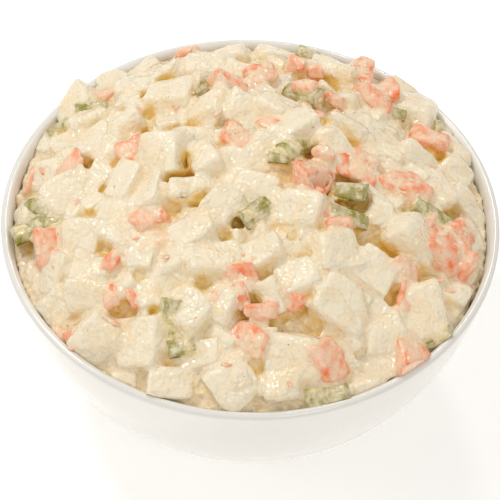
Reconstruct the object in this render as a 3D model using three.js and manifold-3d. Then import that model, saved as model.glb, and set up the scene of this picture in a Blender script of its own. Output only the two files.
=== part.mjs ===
// A round white bowl heaped with potato salad: diced potato bound with dressing, with chunks of
// carrot and slices of celery. Millimetres, +Z up, the origin under the middle of the foot ring,
// the front of the bowl towards -Y. The bowl is one lathed solid. The salad is one solid: a core
// that fills the bowl and rises in a mound, with every piece that shows on it fused to it.
import * as THREE from 'three';
import { ConvexGeometry } from 'three/addons/geometries/ConvexGeometry.js';
import { mergeVertices } from 'three/addons/utils/BufferGeometryUtils.js';
import Module from 'manifold-3d';

// --- The bowl -----------------------------------------------------------------------------------
const RIM_RADIUS = 90; // outside, at the widest
const RIM_HEIGHT = 80;
const WALL = 3.4;
const FLARE = 0.166; // how fast the wall leans in just under the rim
const BELLY = 13.5; // how far the wall has curved in at BELLY_DEPTH
const BELLY_DEPTH = 60;
const BELLY_POWER = 2.8;
const BODY_END_DEPTH = 74; // where the curved wall ends above the foot
const FOOT_RADIUS = 46;
const FOOT_WIDTH = 3.5;
const FOOT_RECESS = 2.2; // height of the underside inside the foot ring
const FLOOR_HEIGHT = 7.2; // of the eating surface, at the middle
const FLOOR_RADIUS = 44;
const WALL_RINGS = 6; // steps down the inside of the wall
const TURNS = 64; // segments round the bowl and the salad

// --- The salad ----------------------------------------------------------------------------------
const GAP = 0.5; // between the salad and the bowl
const INNER_RADIUS = RIM_RADIUS - WALL;
const EDGE_DROP = 4; // how far below the rim the salad meets the wall
const MOUND_RISE = 28; // from that edge to the top
const MOUND_POWER = 2.2;
const BACK_LEAN = 0.05; // the heap is fuller towards the back
const CORE_SINK = 4.6; // how far the core lies under the heap's smooth form, in the middle
const EDGE_SINK = 2.6; // and at the wall
const LUMP_HEIGHT = 1.1;
const OVERHANG_RADIUS = 88.5; // a piece over the rim reaches no further out
const ENVELOPE_TOP = 140;

// The pieces that can be told apart, seen from above: [x, y, length, width, turn in degrees].
// An optional sixth figure lifts a piece that rides on others.
const POTATOES = [
  [-66, 50, 18, 16, 20, 1], [-55, 64, 13, 11, 10], [-44, 72, 17, 10, 20, -1], [-46, 52, 16, 15, 5],
  [-31, 42, 19, 17, -10, 1], [-46, 28, 15, 12, 10], [-61, 37, 16, 11, 25], [-58, 26, 14, 10, 10],
  [-69, 27, 14, 11, 30], [-77, 33, 11, 10, 60], [-75, 14, 14, 15, 75], [-63, 17, 13, 11, 20],
  [-52, 15, 13, 12, 50], [-67, -2, 19, 16, 20, 1], [-82, -4, 13, 10, -60], [-60, -23, 19, 17, 80, 1],
  [-49, -13, 17, 13, 80], [-45, -2, 16, 12, 60], [-31, 8, 19, 18, 80, 2], [-16, 32, 17, 14, 85, 1],
  [-5, 30, 16, 14, 80], [-19, 63, 20, 12, 0, 1], [-33, 68, 15, 10, 10], [-34, 58, 14, 10, -5],
  [7, 33, 15, 14, -30], [15, 20, 18, 15, 35, 2], [4, 11, 17, 15, -25], [-7, 5, 16, 13, -20],
  [-17, 5, 15, 12, -60], [-22, 17, 18, 8, 5], [30, 65, 20, 14, -15, 1], [33, 44, 14, 12, -5],
  [34, 27, 17, 13, -5, 1], [43, 29, 16, 11, 85], [28, 15, 14, 13, -50], [56, 66, 14, 12, -40, 1],
  [60, 51, 19, 18, -30], [71, 46, 11, 9, 30], [76, 34, 16, 14, -40, 1], [62, 21, 25, 11, -20, 1],
  [75, 22, 14, 12, -30], [67, 8, 21, 11, -60], [79, 7, 19, 10, -20], [80, -7, 15, 10, -60],
  [56, -18, 19, 18, -15, 2], [44, -3, 13, 12, -20], [46, -11, 10, 9, 0], [29, -31, 18, 16, 10, 1],
  [44, -35, 17, 14, -30], [35, -33, 11, 8, -70, 2], [31, -50, 19, 17, -20, 2], [18, -43, 16, 14, 20],
  [8, -49, 14, 11, -70], [16, -67, 20, 15, -10], [13, -76, 16, 14, -80, 1], [-4, -77, 19, 17, -50, 1],
  [-15, -69, 15, 11, 5], [-26, -77, 17, 12, 0], [-34, -64, 19, 16, 80], [-51, -59, 18, 16, 40, 2],
  [-42, -74, 10, 10, 0], [-20, -54, 18, 16, -40, 1], [-31, -47, 17, 12, 15], [-55, -37, 16, 10, 10, 1],
  [-67, -33, 17, 12, 50], [-56, -44, 17, 14, -15], [-67, -45, 13, 12, 30], [-44, -43, 15, 11, -70],
  [-37, -33, 15, 10, 80], [-28, -38, 14, 10, 20], [-13, -38, 20, 14, 15], [-9, -53, 15, 14, 60],
  [17, -15, 22, 16, -10, 1], [1, -6, 17, 12, -20], [-10, -16, 15, 12, 60], [-21, -9, 19, 9, 10],
  [-20, -27, 17, 14, 30], [4, -35, 19, 14, 20], [62, -43, 20, 17, -60, 2], [47, -49, 16, 11, -40],
  [38, -57, 16, 9, 60], [47, -58, 15, 13, 0], [45, -67, 14, 9, 0], [75, -33, 12, 10, 60],
  [79, -22, 12, 8, 70], [35, -68, 11, 8, 50], [42, -74, 13, 8, 20], [-10, 74, 15, 10, 0],
  [6, 77, 14, 10, 10], [50, 20, 12, 9, -30], [-37, -10, 16, 14, 0], [-46, -23, 14, 13, 60],
];
const CARROTS = [
  [-43, 13, 12, 10, 20], [-67, 8, 22, 8, 25], [-57, 53, 10, 8, 20], [-27, 73, 9, 6, -20],
  [-8, 45, 18, 12, -5, 1], [2, 53, 12, 10, 30, 1], [17, 43, 13, 6, -40, 3], [12, 29, 10, 7, 10],
  [21, 30, 12, 9, -20], [16, 64, 9, 8, 60], [22, 62, 9, 7, 80], [29, 41, 8, 6, -60],
  [-5, 14, 16, 8, -40], [6, 22, 12, 7, -35], [21, 0, 18, 15, 50, 2], [25, 8, 8, 5, -20, 2],
  [39, 66, 18, 10, 75, 2], [43, 49, 16, 14, -10, 2], [49, 53, 12, 9, -70, 2], [65, 35, 16, 11, -15, 1],
  [37, 9, 17, 14, -20, 1], [56, 3, 19, 14, -30], [75, -10, 14, 11, -40, 2], [68, -19, 15, 14, -10, 2],
  [75, -21, 13, 11, 40, 1], [64, -10, 9, 7, 60, 1], [31, -22, 10, 9, 40, 1], [54, -32, 13, 7, -20],
  [54, -42, 12, 5, -80], [56, -59, 18, 13, -70, 2], [27, -68, 15, 12, -60, 2], [-4, -43, 14, 10, 10, 1],
  [-2, -51, 11, 5, -75], [5, -55, 12, 6, 10], [1, -64, 14, 11, -20], [-36, -20, 15, 11, 30],
  [-33, -30, 12, 8, 0], [-72, -24, 20, 14, 70, 1], [-46, -33, 14, 5, 65], [-46, -47, 9, 5, -80, 1],
  [-39, -49, 8, 4, -80], [-65, -56, 10, 7, -60], [-59, -58, 12, 8, -60, 1], [-81, 12, 13, 5, 80],
  [15, -51, 10, 7, 0], [25, -15, 10, 7, 80], [-11, -52, 8, 4, 80],
];
const CELERY = [
  [-23, 43, 11, 9, 30], [-75, -12, 19, 12, 25, 2], [-75, -4, 14, 7, -35], [17, 42, 16, 9, -35, 1],
  [21, 79, 11, 8, -20], [27, 29, 12, 6, -5], [15, 11, 13, 10, 50, 1], [9, 5, 7, 6, 0],
  [33, -5, 15, 11, -15, 1], [34, -16, 14, 10, 5, 1], [52, 43, 8, 6, 0], [70, 42, 10, 7, -60],
  [65, -6, 17, 9, -15], [-27, -59, 18, 9, 75], [-22, -66, 9, 8, 20], [28, -79, 15, 11, 10, 2],
  [62, -55, 20, 7, 45], [2, -18, 12, 9, 40], [26, -27, 8, 5, 30], [-60, 43, 12, 6, 5],
  [-72, 37, 9, 6, 20],
];

// How each kind is cut and how it lies: fit is the share of the space seen from above that it fills,
// and thick a share of its width. The top of a piece TYPICAL_WIDTH wide stands proud above the mound,
// give or take uneven, and grow more for each millimetre that it is wider. It tips up to tip degrees,
// its faces are skew, and corners are cut off at a share trim of their reach.
const TYPICAL_WIDTH = 13;
const CUT = {
  potato: {
    fit: 0.92, thick: [0.75, 1], proud: 1.8, grow: 0.35, uneven: 1.5, tip: 28,
    skew: 0.16, corners: 3, trim: [0.7, 0.92], seed: 1000,
  },
  carrot: {
    fit: 0.95, thick: [0.55, 0.85], proud: 2, grow: 0, uneven: 1, tip: 30,
    skew: 0.26, corners: 4, trim: [0.56, 0.8], seed: 3000,
  },
  celery: {
    fit: 1, thick: [0.5, 0.5], proud: 2, grow: 0, uneven: 1, tip: 28,
    skew: 0, corners: 0, trim: [1, 1], seed: 5000,
  },
};
const CELERY_WALL = 3.2; // thickness of the stalk's wall
const CELERY_HALF_ARC = 55; // degrees of the stalk's round on each side of the middle
const CELERY_STEPS = 5;

// Small dice that fill the hollows between the others, scattered by a seeded rule.
const FILL = { seed: 77, tries: 1500, size: [7, 12], clearance: 0.64, reach: 81, sink: 1.5 };

/** Numbers between 0 and 1 that repeat for the same seed (the minimal standard generator). */
function draws(seed) {
  const MODULUS = 2147483647;
  const MULTIPLIER = 16807;
  const SETTLE = 4; // small seeds start alike, so the first draws are dropped
  let state = seed;
  const next = () => {
    state = (state * MULTIPLIER) % MODULUS;
    return state / MODULUS;
  };
  for (let i = 0; i < SETTLE; i++) next();
  return { between: (low, high) => low + (high - low) * next(), either: () => (next() < 0.5 ? -1 : 1) };
}

/** Outer radius of the bowl's wall at a depth below the rim. */
const outerRadius = (depth) => RIM_RADIUS - FLARE * depth - BELLY * (depth / BELLY_DEPTH) ** BELLY_POWER;

/** Inner radius at that depth: the wall has the same thickness square to its own slope. */
function innerRadius(depth) {
  const slope = FLARE + (BELLY * BELLY_POWER / BELLY_DEPTH) * (depth / BELLY_DEPTH) ** (BELLY_POWER - 1);
  return outerRadius(depth) - WALL * Math.hypot(1, slope);
}

const steps = (from, to, count) =>
  Array.from({ length: count + 1 }, (_, i) => from + ((to - from) * i) / count);

/** The inside of the wall from the floor up to just under the rim, moved in by a clearance. */
const insideProfile = (clearance) => steps(RIM_HEIGHT - FLOOR_HEIGHT - 3, WALL, WALL_RINGS).map((depth) => [
  innerRadius(depth) - clearance,
  RIM_HEIGHT - depth,
]);

/** Turns a profile of [radius, height] pairs round +Z. */
function lathe(profile) {
  const points = profile.map(([radius, height]) => new THREE.Vector2(radius, height));
  return new THREE.LatheGeometry(points, TURNS).rotateX(Math.PI / 2);
}

function bowlGeometry() {
  const lip = WALL / 2;
  const bodyEnd = RIM_HEIGHT - BODY_END_DEPTH;
  const outside = steps(BODY_END_DEPTH, WALL, 7).map((depth) => [outerRadius(depth), RIM_HEIGHT - depth]);
  const rim = steps(0, Math.PI, 4).map((angle) => [
    RIM_RADIUS - lip + lip * Math.cos(angle),
    RIM_HEIGHT - lip + lip * Math.sin(angle),
  ]);
  return lathe([
    [0, FOOT_RECESS],
    [FOOT_RADIUS - FOOT_WIDTH - 0.6, FOOT_RECESS],
    [FOOT_RADIUS - FOOT_WIDTH, 0],
    [FOOT_RADIUS - 0.6, 0],
    [FOOT_RADIUS, bodyEnd / 2],
    ...outside,
    ...rim,
    ...insideProfile(0).reverse(),
    [FLOOR_RADIUS, FLOOR_HEIGHT + 0.3],
    [0, FLOOR_HEIGHT],
  ]);
}

/** Height of the heap's smooth form. */
function moundHeight(x, y) {
  const share = Math.min(1, Math.hypot(x, y) / INNER_RADIUS);
  return RIM_HEIGHT - EDGE_DROP + MOUND_RISE * (1 - share ** MOUND_POWER) + BACK_LEAN * Math.max(0, y);
}

/** Direction straight out of the heap's smooth form. */
function moundNormal(x, y) {
  const step = 0.5;
  const slopeX = (moundHeight(x + step, y) - moundHeight(x - step, y)) / (2 * step);
  const slopeY = (moundHeight(x, y + step) - moundHeight(x, y - step)) / (2 * step);
  return new THREE.Vector3(-slopeX, -slopeY, 1).normalize();
}

/** The core: it fills the bowl and rises in an uneven mound a little under the pieces. */
function coreGeometry() {
  const side = insideProfile(GAP).slice(0, -1);
  const edge = innerRadius(EDGE_DROP + EDGE_SINK) - GAP;
  const top = steps(edge, 0, 8).map((radius) => [radius, RIM_HEIGHT]);
  const geometry = lathe([
    [0, FLOOR_HEIGHT + GAP],
    [FLOOR_RADIUS - 2, FLOOR_HEIGHT + GAP + 0.4],
    ...side,
    ...top,
  ]);
  const position = geometry.attributes.position;
  for (let i = 0; i < position.count; i++) {
    const [x, y, z] = [position.getX(i), position.getY(i), position.getZ(i)];
    if (Math.abs(z - RIM_HEIGHT) > 0.01) continue;
    const inwards = 1 - (Math.hypot(x, y) / edge) ** 6;
    const sink = EDGE_SINK + (CORE_SINK - EDGE_SINK) * inwards;
    const lumps = LUMP_HEIGHT * (Math.cos(x * 0.21 + 1) * Math.cos(y * 0.19) + Math.cos((x - y) * 0.13));
    position.setZ(i, moundHeight(x, y) - sink + inwards * lumps);
  }
  return geometry;
}

/** Where a piece lies: its own axes (length, width, thickness) and its middle, as a matrix. */
function placement(piece, kind, random) {
  const [x, y, , width, turn, lift = 0] = piece;
  const tip = THREE.MathUtils.degToRad(kind.tip);
  const normal = moundNormal(x, y);
  const heading = THREE.MathUtils.degToRad(turn);
  const along = new THREE.Vector3(Math.cos(heading), Math.sin(heading), 0);
  along.addScaledVector(normal, -along.dot(normal)).normalize();
  const across = new THREE.Vector3().crossVectors(normal, along);
  const axes = new THREE.Matrix4().makeBasis(along, across, normal);
  const roll = new THREE.Matrix4().makeRotationX(random.between(-tip, tip));
  const pitch = new THREE.Matrix4().makeRotationY(random.between(-tip, tip));
  const middle = new THREE.Vector3(x, y, moundHeight(x, y));
  const stand = kind.proud + lift + kind.grow * (width - TYPICAL_WIDTH);
  const uneven = random.between(-kind.uneven, kind.uneven);
  middle.addScaledVector(normal, stand + uneven - piece.thickness / 2);
  return axes.multiply(roll).multiply(pitch).setPosition(middle);
}

/** The flat cuts that bound a chunk: three skewed pairs of faces and a few cut-off corners. */
function chunkPlanes(half, kind, random) {
  const planes = [];
  for (let axis = 0; axis < 3; axis++) {
    for (const side of [-1, 1]) {
      const normal = [0, 1, 2].map((i) => (i === axis ? side : random.between(-kind.skew, kind.skew)));
      planes.push({ normal: new THREE.Vector3(...normal).normalize(), distance: half[axis] });
    }
  }
  for (let i = 0; i < kind.corners; i++) {
    const lean = [0, 1, 2].map((axis) => (random.either() * random.between(0.25, 1)) / half[axis]);
    const normal = new THREE.Vector3(...lean).normalize();
    const reach = Math.abs(normal.x) * half[0] + Math.abs(normal.y) * half[1] + Math.abs(normal.z) * half[2];
    planes.push({ normal, distance: reach * random.between(...kind.trim) });
  }
  return planes;
}

/** The convex solid inside a set of planes, from the corners where three of them meet. */
function convexFrom(planes) {
  const corners = [];
  const meets = new THREE.Matrix3();
  planes.forEach((a, i) => planes.slice(i + 1).forEach((b, j) => planes.slice(i + j + 2).forEach((c) => {
    meets.set(...a.normal.toArray(), ...b.normal.toArray(), ...c.normal.toArray());
    if (Math.abs(meets.determinant()) < 0.05) return;
    const corner = new THREE.Vector3(a.distance, b.distance, c.distance).applyMatrix3(meets.invert());
    if (planes.every((p) => p.normal.dot(corner) < p.distance + 0.01)) corners.push(corner);
  })));
  return new ConvexGeometry(corners);
}

/** A short length of celery: a curved wall, straight along the stalk, hollow side down. */
function celeryGeometry(length, width, wall) {
  const arc = THREE.MathUtils.degToRad(CELERY_HALF_ARC);
  const outer = width / 2 / Math.sin(arc);
  const top = Math.PI / 2;
  const shape = new THREE.Shape();
  shape.absarc(0, 0, outer, top - arc, top + arc, false);
  shape.absarc(0, 0, outer - wall, top + arc, top - arc, true);
  const options = { depth: length, bevelEnabled: false, curveSegments: CELERY_STEPS };
  const geometry = new THREE.ExtrudeGeometry(shape, options);
  const middle = outer - wall / 2;
  // Length along X, width along Y, the crown of the arc up.
  return geometry.translate(0, -middle, -length / 2).rotateX(Math.PI / 2).rotateZ(Math.PI / 2);
}

/** One piece of the salad in its place. */
function pieceGeometry(row, kindName, index) {
  const kind = CUT[kindName];
  const random = draws(kind.seed + 13 * index);
  const [length, width] = [row[2] * kind.fit, row[3] * kind.fit];
  const piece = [...row];
  piece.thickness = width * random.between(...kind.thick);
  const place = placement(piece, kind, random);
  const shape = kindName === 'celery'
    ? celeryGeometry(length, width, Math.min(CELERY_WALL, piece.thickness))
    : convexFrom(chunkPlanes([length / 2, width / 2, piece.thickness / 2], kind, random));
  return shape.applyMatrix4(place);
}

/** Rows for the small dice: seeded throws, kept where they clear what lies there already. */
function fillRows(taken) {
  const random = draws(FILL.seed);
  const rows = [];
  for (let i = 0; i < FILL.tries; i++) {
    const [x, y] = [random.between(-FILL.reach, FILL.reach), random.between(-FILL.reach, FILL.reach)];
    const size = random.between(...FILL.size);
    const row = [x, y, size, size * random.between(0.75, 1), random.between(0, 180), -FILL.sink];
    const clear = [...taken, ...rows].every(([ox, oy, length, width]) => {
      const room = FILL.clearance * ((length + width) / 4 + size / 2);
      return Math.hypot(x - ox, y - oy) > room;
    });
    if (Math.hypot(x, y) < FILL.reach && clear) rows.push(row);
  }
  return rows;
}

const wasm = await Module();
wasm.setup();

/** A closed geometry as a solid that can be joined and cut. */
function solid(geometry) {
  const bare = geometry.clone();
  bare.deleteAttribute('normal');
  bare.deleteAttribute('uv');
  const merged = mergeVertices(bare, 1e-3);
  const triVerts = new Uint32Array(merged.index.array);
  const mesh = new wasm.Mesh({ numProp: 3, vertProperties: merged.attributes.position.array, triVerts });
  return new wasm.Manifold(mesh);
}

function geometryOf(manifold) {
  const mesh = manifold.getMesh();
  const geometry = new THREE.BufferGeometry();
  geometry.setAttribute('position', new THREE.BufferAttribute(mesh.vertProperties, 3));
  geometry.setIndex(new THREE.BufferAttribute(mesh.triVerts, 1));
  geometry.computeVertexNormals();
  return geometry;
}

/** The room that the salad may take: inside the bowl's wall, and above the rim a little wider. */
function envelopeSolid() {
  return solid(lathe([
    [0, FLOOR_HEIGHT + GAP],
    [FLOOR_RADIUS - 2, FLOOR_HEIGHT + GAP + 0.4],
    ...insideProfile(GAP),
    [INNER_RADIUS - GAP, RIM_HEIGHT + GAP],
    [OVERHANG_RADIUS, RIM_HEIGHT + GAP],
    [OVERHANG_RADIUS, ENVELOPE_TOP],
    [0, ENVELOPE_TOP],
  ]));
}

/** Whether a solid's surface meets itself along an edge, with corners compared to a tenth of a micron. */
function touchesItself(manifold) {
  const { vertProperties, triVerts } = manifold.getMesh();
  const spot = (i) => [0, 1, 2].map((k) => Math.round(vertProperties[3 * i + k] * 1e4)).join();
  const uses = new Map();
  for (let i = 0; i < triVerts.length; i += 3) {
    const corners = [0, 1, 2].map((k) => spot(triVerts[i + k]));
    corners.forEach((corner, k) => {
      const edge = [corner, corners[(k + 1) % 3]].sort().join('|');
      uses.set(edge, (uses.get(edge) ?? 0) + 1);
    });
  }
  return [...uses.values()].some((count) => count !== 2);
}

/** The largest body of a solid: loose scraps and sealed hollows are the other bodies. */
const largestBody = (manifold) => manifold.decompose().sort((a, b) => b.volume() - a.volume())[0];

/** Merges corners that lie close together, more gently each time until the surface is a clean one. */
function withoutSlivers(manifold) {
  const [MOST, LEAST, STEP] = [0.4, 0.2, 0.01];
  for (let sliver = MOST; sliver > LEAST; sliver -= STEP) {
    const plain = largestBody(manifold.simplify(sliver).simplify(sliver));
    if (!touchesItself(plain)) return plain;
  }
  throw new Error('the joined pieces have no clean surface');
}

function saladGeometry() {
  const named = [
    ...POTATOES.map((row) => [row, 'potato']),
    ...CARROTS.map((row) => [row, 'carrot']),
    ...CELERY.map((row) => [row, 'celery']),
  ];
  const fill = fillRows(named.map(([row]) => row)).map((row) => [row, 'potato']);
  const pieces = [...named, ...fill].map(([row, kind], index) => solid(pieceGeometry(row, kind, index)));
  const joined = wasm.Manifold.union([solid(coreGeometry()), ...pieces]);
  return geometryOf(withoutSlivers(joined.intersect(envelopeSolid()).asOriginal()));
}

function named(name, geometry, color, roughness) {
  const mesh = new THREE.Mesh(geometry, new THREE.MeshStandardMaterial({ color, roughness, metalness: 0 }));
  mesh.name = name;
  return mesh;
}

const group = new THREE.Group();
group.add(named('bowl', bowlGeometry(), 0xf1eee9, 0.25));
group.add(named('salad', saladGeometry(), 0xefe2c2, 0.45));

export default group;
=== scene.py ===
"""The looks of a white bowl heaped with potato salad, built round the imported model.

The bowl is a turned form. The salad is built as a cook would make it: dice of potato, chunks of
carrot and lengths of celery lie in a mound, and a thick dressing fills the hollows between them
and films them over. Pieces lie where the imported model's solids have them, because both are worked
out from the same rows of sizes and the same seeded rule.
"""

from __future__ import annotations

import logging
import math
from dataclasses import dataclass, field
from enum import Enum
from typing import Sequence

import bmesh
import bpy
import numpy as np
from bpy.types import Material, Mesh, Node, NodeSocket, NodeTree, Object
from mathutils import Matrix, Vector, noise
from mathutils.bvhtree import BVHTree

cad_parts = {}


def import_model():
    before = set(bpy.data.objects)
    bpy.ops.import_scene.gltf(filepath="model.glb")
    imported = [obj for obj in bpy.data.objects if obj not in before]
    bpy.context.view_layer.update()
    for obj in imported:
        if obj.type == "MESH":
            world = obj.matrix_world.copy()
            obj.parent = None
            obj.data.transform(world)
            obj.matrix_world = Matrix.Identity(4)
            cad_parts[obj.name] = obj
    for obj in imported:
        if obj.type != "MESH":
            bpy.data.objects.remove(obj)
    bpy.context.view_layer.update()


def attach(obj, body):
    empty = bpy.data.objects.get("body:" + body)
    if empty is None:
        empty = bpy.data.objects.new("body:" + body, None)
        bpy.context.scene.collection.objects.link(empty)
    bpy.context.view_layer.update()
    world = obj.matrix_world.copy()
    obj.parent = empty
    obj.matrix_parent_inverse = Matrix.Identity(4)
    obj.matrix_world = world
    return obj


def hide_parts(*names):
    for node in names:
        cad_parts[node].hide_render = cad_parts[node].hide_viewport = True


LOG = logging.getLogger("potato_salad")
MM = 0.001
SEAM = 0.02  # millimetres within which the two ends of a turned form are one
PIT_MARGIN = 1.3  # millimetres by which the dice draw back from a pit in the dressing
BODY = "root"

Point = tuple[float, float, float]
Profile = list[tuple[float, float]]
Colour = tuple[float, float, float]
Faces = list[tuple[int, ...]]


# --- The pieces that can be told apart ----------------------------------------------------------


@dataclass(frozen=True)
class Chunk:
    """One piece of the salad seen from above, in millimetres and degrees."""

    x: float
    y: float
    length: float
    width: float
    turn: float
    lift: float = 0.0


class Kind(Enum):
    """What a piece of the salad is cut from."""

    POTATO = "potato"
    CARROT = "carrot"
    CELERY = "celery"


@dataclass(frozen=True)
class Cut:
    """How a kind is cut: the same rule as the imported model's solids follow.

    fit is the share of the space seen from above that the piece fills and thick a share of the
    width. The top of a piece TYPICAL_WIDTH wide stands proud millimetres above the mound, give or
    take uneven, and grow more for each millimetre that it is wider. tip is in degrees, skew leans
    the faces, and corners are cut off at a share trim of their reach.
    """

    fit: float
    thick: tuple[float, float]
    proud: float
    grow: float
    uneven: float
    tip: float
    skew: float
    corners: int
    trim: tuple[float, float]
    seed: int


CUTS = {
    Kind.POTATO: Cut(0.92, (0.75, 1.0), 1.8, 0.35, 1.5, 28, 0.16, 3, (0.7, 0.92), 1000),
    Kind.CARROT: Cut(0.95, (0.55, 0.85), 2.0, 0.0, 1.0, 30, 0.26, 4, (0.56, 0.8), 3000),
    Kind.CELERY: Cut(1.0, (0.5, 0.5), 2.0, 0.0, 1.0, 28, 0.0, 0, (1.0, 1.0), 5000),
}
TYPICAL_WIDTH = 13.0

POTATOES = (
    (-66, 50, 18, 16, 20, 1), (-55, 64, 13, 11, 10), (-44, 72, 17, 10, 20, -1), (-46, 52, 16, 15, 5),
    (-31, 42, 19, 17, -10, 1), (-46, 28, 15, 12, 10), (-61, 37, 16, 11, 25), (-58, 26, 14, 10, 10),
    (-69, 27, 14, 11, 30), (-77, 33, 11, 10, 60), (-75, 14, 14, 15, 75), (-63, 17, 13, 11, 20),
    (-52, 15, 13, 12, 50), (-67, -2, 19, 16, 20, 1), (-82, -4, 13, 10, -60), (-60, -23, 19, 17, 80, 1),
    (-49, -13, 17, 13, 80), (-45, -2, 16, 12, 60), (-31, 8, 19, 18, 80, 2), (-16, 32, 17, 14, 85, 1),
    (-5, 30, 16, 14, 80), (-19, 63, 20, 12, 0, 1), (-33, 68, 15, 10, 10), (-34, 58, 14, 10, -5),
    (7, 33, 15, 14, -30), (15, 20, 18, 15, 35, 2), (4, 11, 17, 15, -25), (-7, 5, 16, 13, -20),
    (-17, 5, 15, 12, -60), (-22, 17, 18, 8, 5), (30, 65, 20, 14, -15, 1), (33, 44, 14, 12, -5),
    (34, 27, 17, 13, -5, 1), (43, 29, 16, 11, 85), (28, 15, 14, 13, -50), (56, 66, 14, 12, -40, 1),
    (60, 51, 19, 18, -30), (71, 46, 11, 9, 30), (76, 34, 16, 14, -40, 1), (62, 21, 25, 11, -20, 1),
    (75, 22, 14, 12, -30), (67, 8, 21, 11, -60), (79, 7, 19, 10, -20), (80, -7, 15, 10, -60),
    (56, -18, 19, 18, -15, 2), (44, -3, 13, 12, -20), (46, -11, 10, 9, 0), (29, -31, 18, 16, 10, 1),
    (44, -35, 17, 14, -30), (35, -33, 11, 8, -70, 2), (31, -50, 19, 17, -20, 2), (18, -43, 16, 14, 20),
    (8, -49, 14, 11, -70), (16, -67, 20, 15, -10), (13, -76, 16, 14, -80, 1), (-4, -77, 19, 17, -50, 1),
    (-15, -69, 15, 11, 5), (-26, -77, 17, 12, 0), (-34, -64, 19, 16, 80), (-51, -59, 18, 16, 40, 2),
    (-42, -74, 10, 10, 0), (-20, -54, 18, 16, -40, 1), (-31, -47, 17, 12, 15), (-55, -37, 16, 10, 10, 1),
    (-67, -33, 17, 12, 50), (-56, -44, 17, 14, -15), (-67, -45, 13, 12, 30), (-44, -43, 15, 11, -70),
    (-37, -33, 15, 10, 80), (-28, -38, 14, 10, 20), (-13, -38, 20, 14, 15), (-9, -53, 15, 14, 60),
    (17, -15, 22, 16, -10, 1), (1, -6, 17, 12, -20), (-10, -16, 15, 12, 60), (-21, -9, 19, 9, 10),
    (-20, -27, 17, 14, 30), (4, -35, 19, 14, 20), (62, -43, 20, 17, -60, 2), (47, -49, 16, 11, -40),
    (38, -57, 16, 9, 60), (47, -58, 15, 13, 0), (45, -67, 14, 9, 0), (75, -33, 12, 10, 60),
    (79, -22, 12, 8, 70), (35, -68, 11, 8, 50), (42, -74, 13, 8, 20), (-10, 74, 15, 10, 0),
    (6, 77, 14, 10, 10), (50, 20, 12, 9, -30), (-37, -10, 16, 14, 0), (-46, -23, 14, 13, 60),
)
CARROTS = (
    (-43, 13, 12, 10, 20), (-67, 8, 22, 8, 25), (-57, 53, 10, 8, 20), (-27, 73, 9, 6, -20),
    (-8, 45, 18, 12, -5, 1), (2, 53, 12, 10, 30, 1), (17, 43, 13, 6, -40, 3), (12, 29, 10, 7, 10),
    (21, 30, 12, 9, -20), (16, 64, 9, 8, 60), (22, 62, 9, 7, 80), (29, 41, 8, 6, -60),
    (-5, 14, 16, 8, -40), (6, 22, 12, 7, -35), (21, 0, 18, 15, 50, 2), (25, 8, 8, 5, -20, 2),
    (39, 66, 18, 10, 75, 2), (43, 49, 16, 14, -10, 2), (49, 53, 12, 9, -70, 2), (65, 35, 16, 11, -15, 1),
    (37, 9, 17, 14, -20, 1), (56, 3, 19, 14, -30), (75, -10, 14, 11, -40, 2), (68, -19, 15, 14, -10, 2),
    (75, -21, 13, 11, 40, 1), (64, -10, 9, 7, 60, 1), (31, -22, 10, 9, 40, 1), (54, -32, 13, 7, -20),
    (54, -42, 12, 5, -80), (56, -59, 18, 13, -70, 2), (27, -68, 15, 12, -60, 2), (-4, -43, 14, 10, 10, 1),
    (-2, -51, 11, 5, -75), (5, -55, 12, 6, 10), (1, -64, 14, 11, -20), (-36, -20, 15, 11, 30),
    (-33, -30, 12, 8, 0), (-72, -24, 20, 14, 70, 1), (-46, -33, 14, 5, 65), (-46, -47, 9, 5, -80, 1),
    (-39, -49, 8, 4, -80), (-65, -56, 10, 7, -60), (-59, -58, 12, 8, -60, 1), (-81, 12, 13, 5, 80),
    (15, -51, 10, 7, 0), (25, -15, 10, 7, 80), (-11, -52, 8, 4, 80),
)
CELERY = (
    (-23, 43, 11, 9, 30), (-75, -12, 19, 12, 25, 2), (-75, -4, 14, 7, -35), (17, 42, 16, 9, -35, 1),
    (21, 79, 11, 8, -20), (27, 29, 12, 6, -5), (15, 11, 13, 10, 50, 1), (9, 5, 7, 6, 0),
    (33, -5, 15, 11, -15, 1), (34, -16, 14, 10, 5, 1), (52, 43, 8, 6, 0), (70, 42, 10, 7, -60),
    (65, -6, 17, 9, -15), (-27, -59, 18, 9, 75), (-22, -66, 9, 8, 20), (28, -79, 15, 11, 10, 2),
    (62, -55, 20, 7, 45), (2, -18, 12, 9, 40), (26, -27, 8, 5, 30), (-60, 43, 12, 6, 5),
    (-72, 37, 9, 6, 20),
)


@dataclass(frozen=True)
class Pit:
    """A narrow gap between pieces that the dressing hasn't filled, in millimetres and degrees."""

    x: float
    y: float
    length: float
    width: float
    turn: float
    depth: float

    def share(self, points: np.ndarray, margin: float = 0.0) -> np.ndarray:
        """How far each point in millimetres lies in the gap, from 0 outside to 1 in its middle.

        Args:
            points: rows of x, y, z in millimetres.
            margin: how much wider to take the gap all round.

        Returns:
            One share for each point.
        """
        ragged, ragged_size, far, steepness = 1.3, 2.4, 4, 1.6
        heading = math.radians(self.turn)
        dx, dy = points[:, 0] - self.x, points[:, 1] - self.y
        along = dx * math.cos(heading) + dy * math.sin(heading)
        across = dy * math.cos(heading) - dx * math.sin(heading)
        away = (along / (self.length / 2 + margin)) ** 2 + (across / (self.width / 2 + margin)) ** 2
        for i in np.flatnonzero(away < far):
            away[i] *= 1 + ragged * noise.noise(Vector(points[i]) / ragged_size)
        inside = np.clip(steepness * (1 - away), 0, 1)
        return inside * inside * (3 - 2 * inside)


PITS = (
    Pit(-24, 5, 8, 3, 85, 3.5), Pit(-18, -12, 8, 3, 28, 2.5), Pit(25, -6, 8, 4, 80, 6),
)


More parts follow.
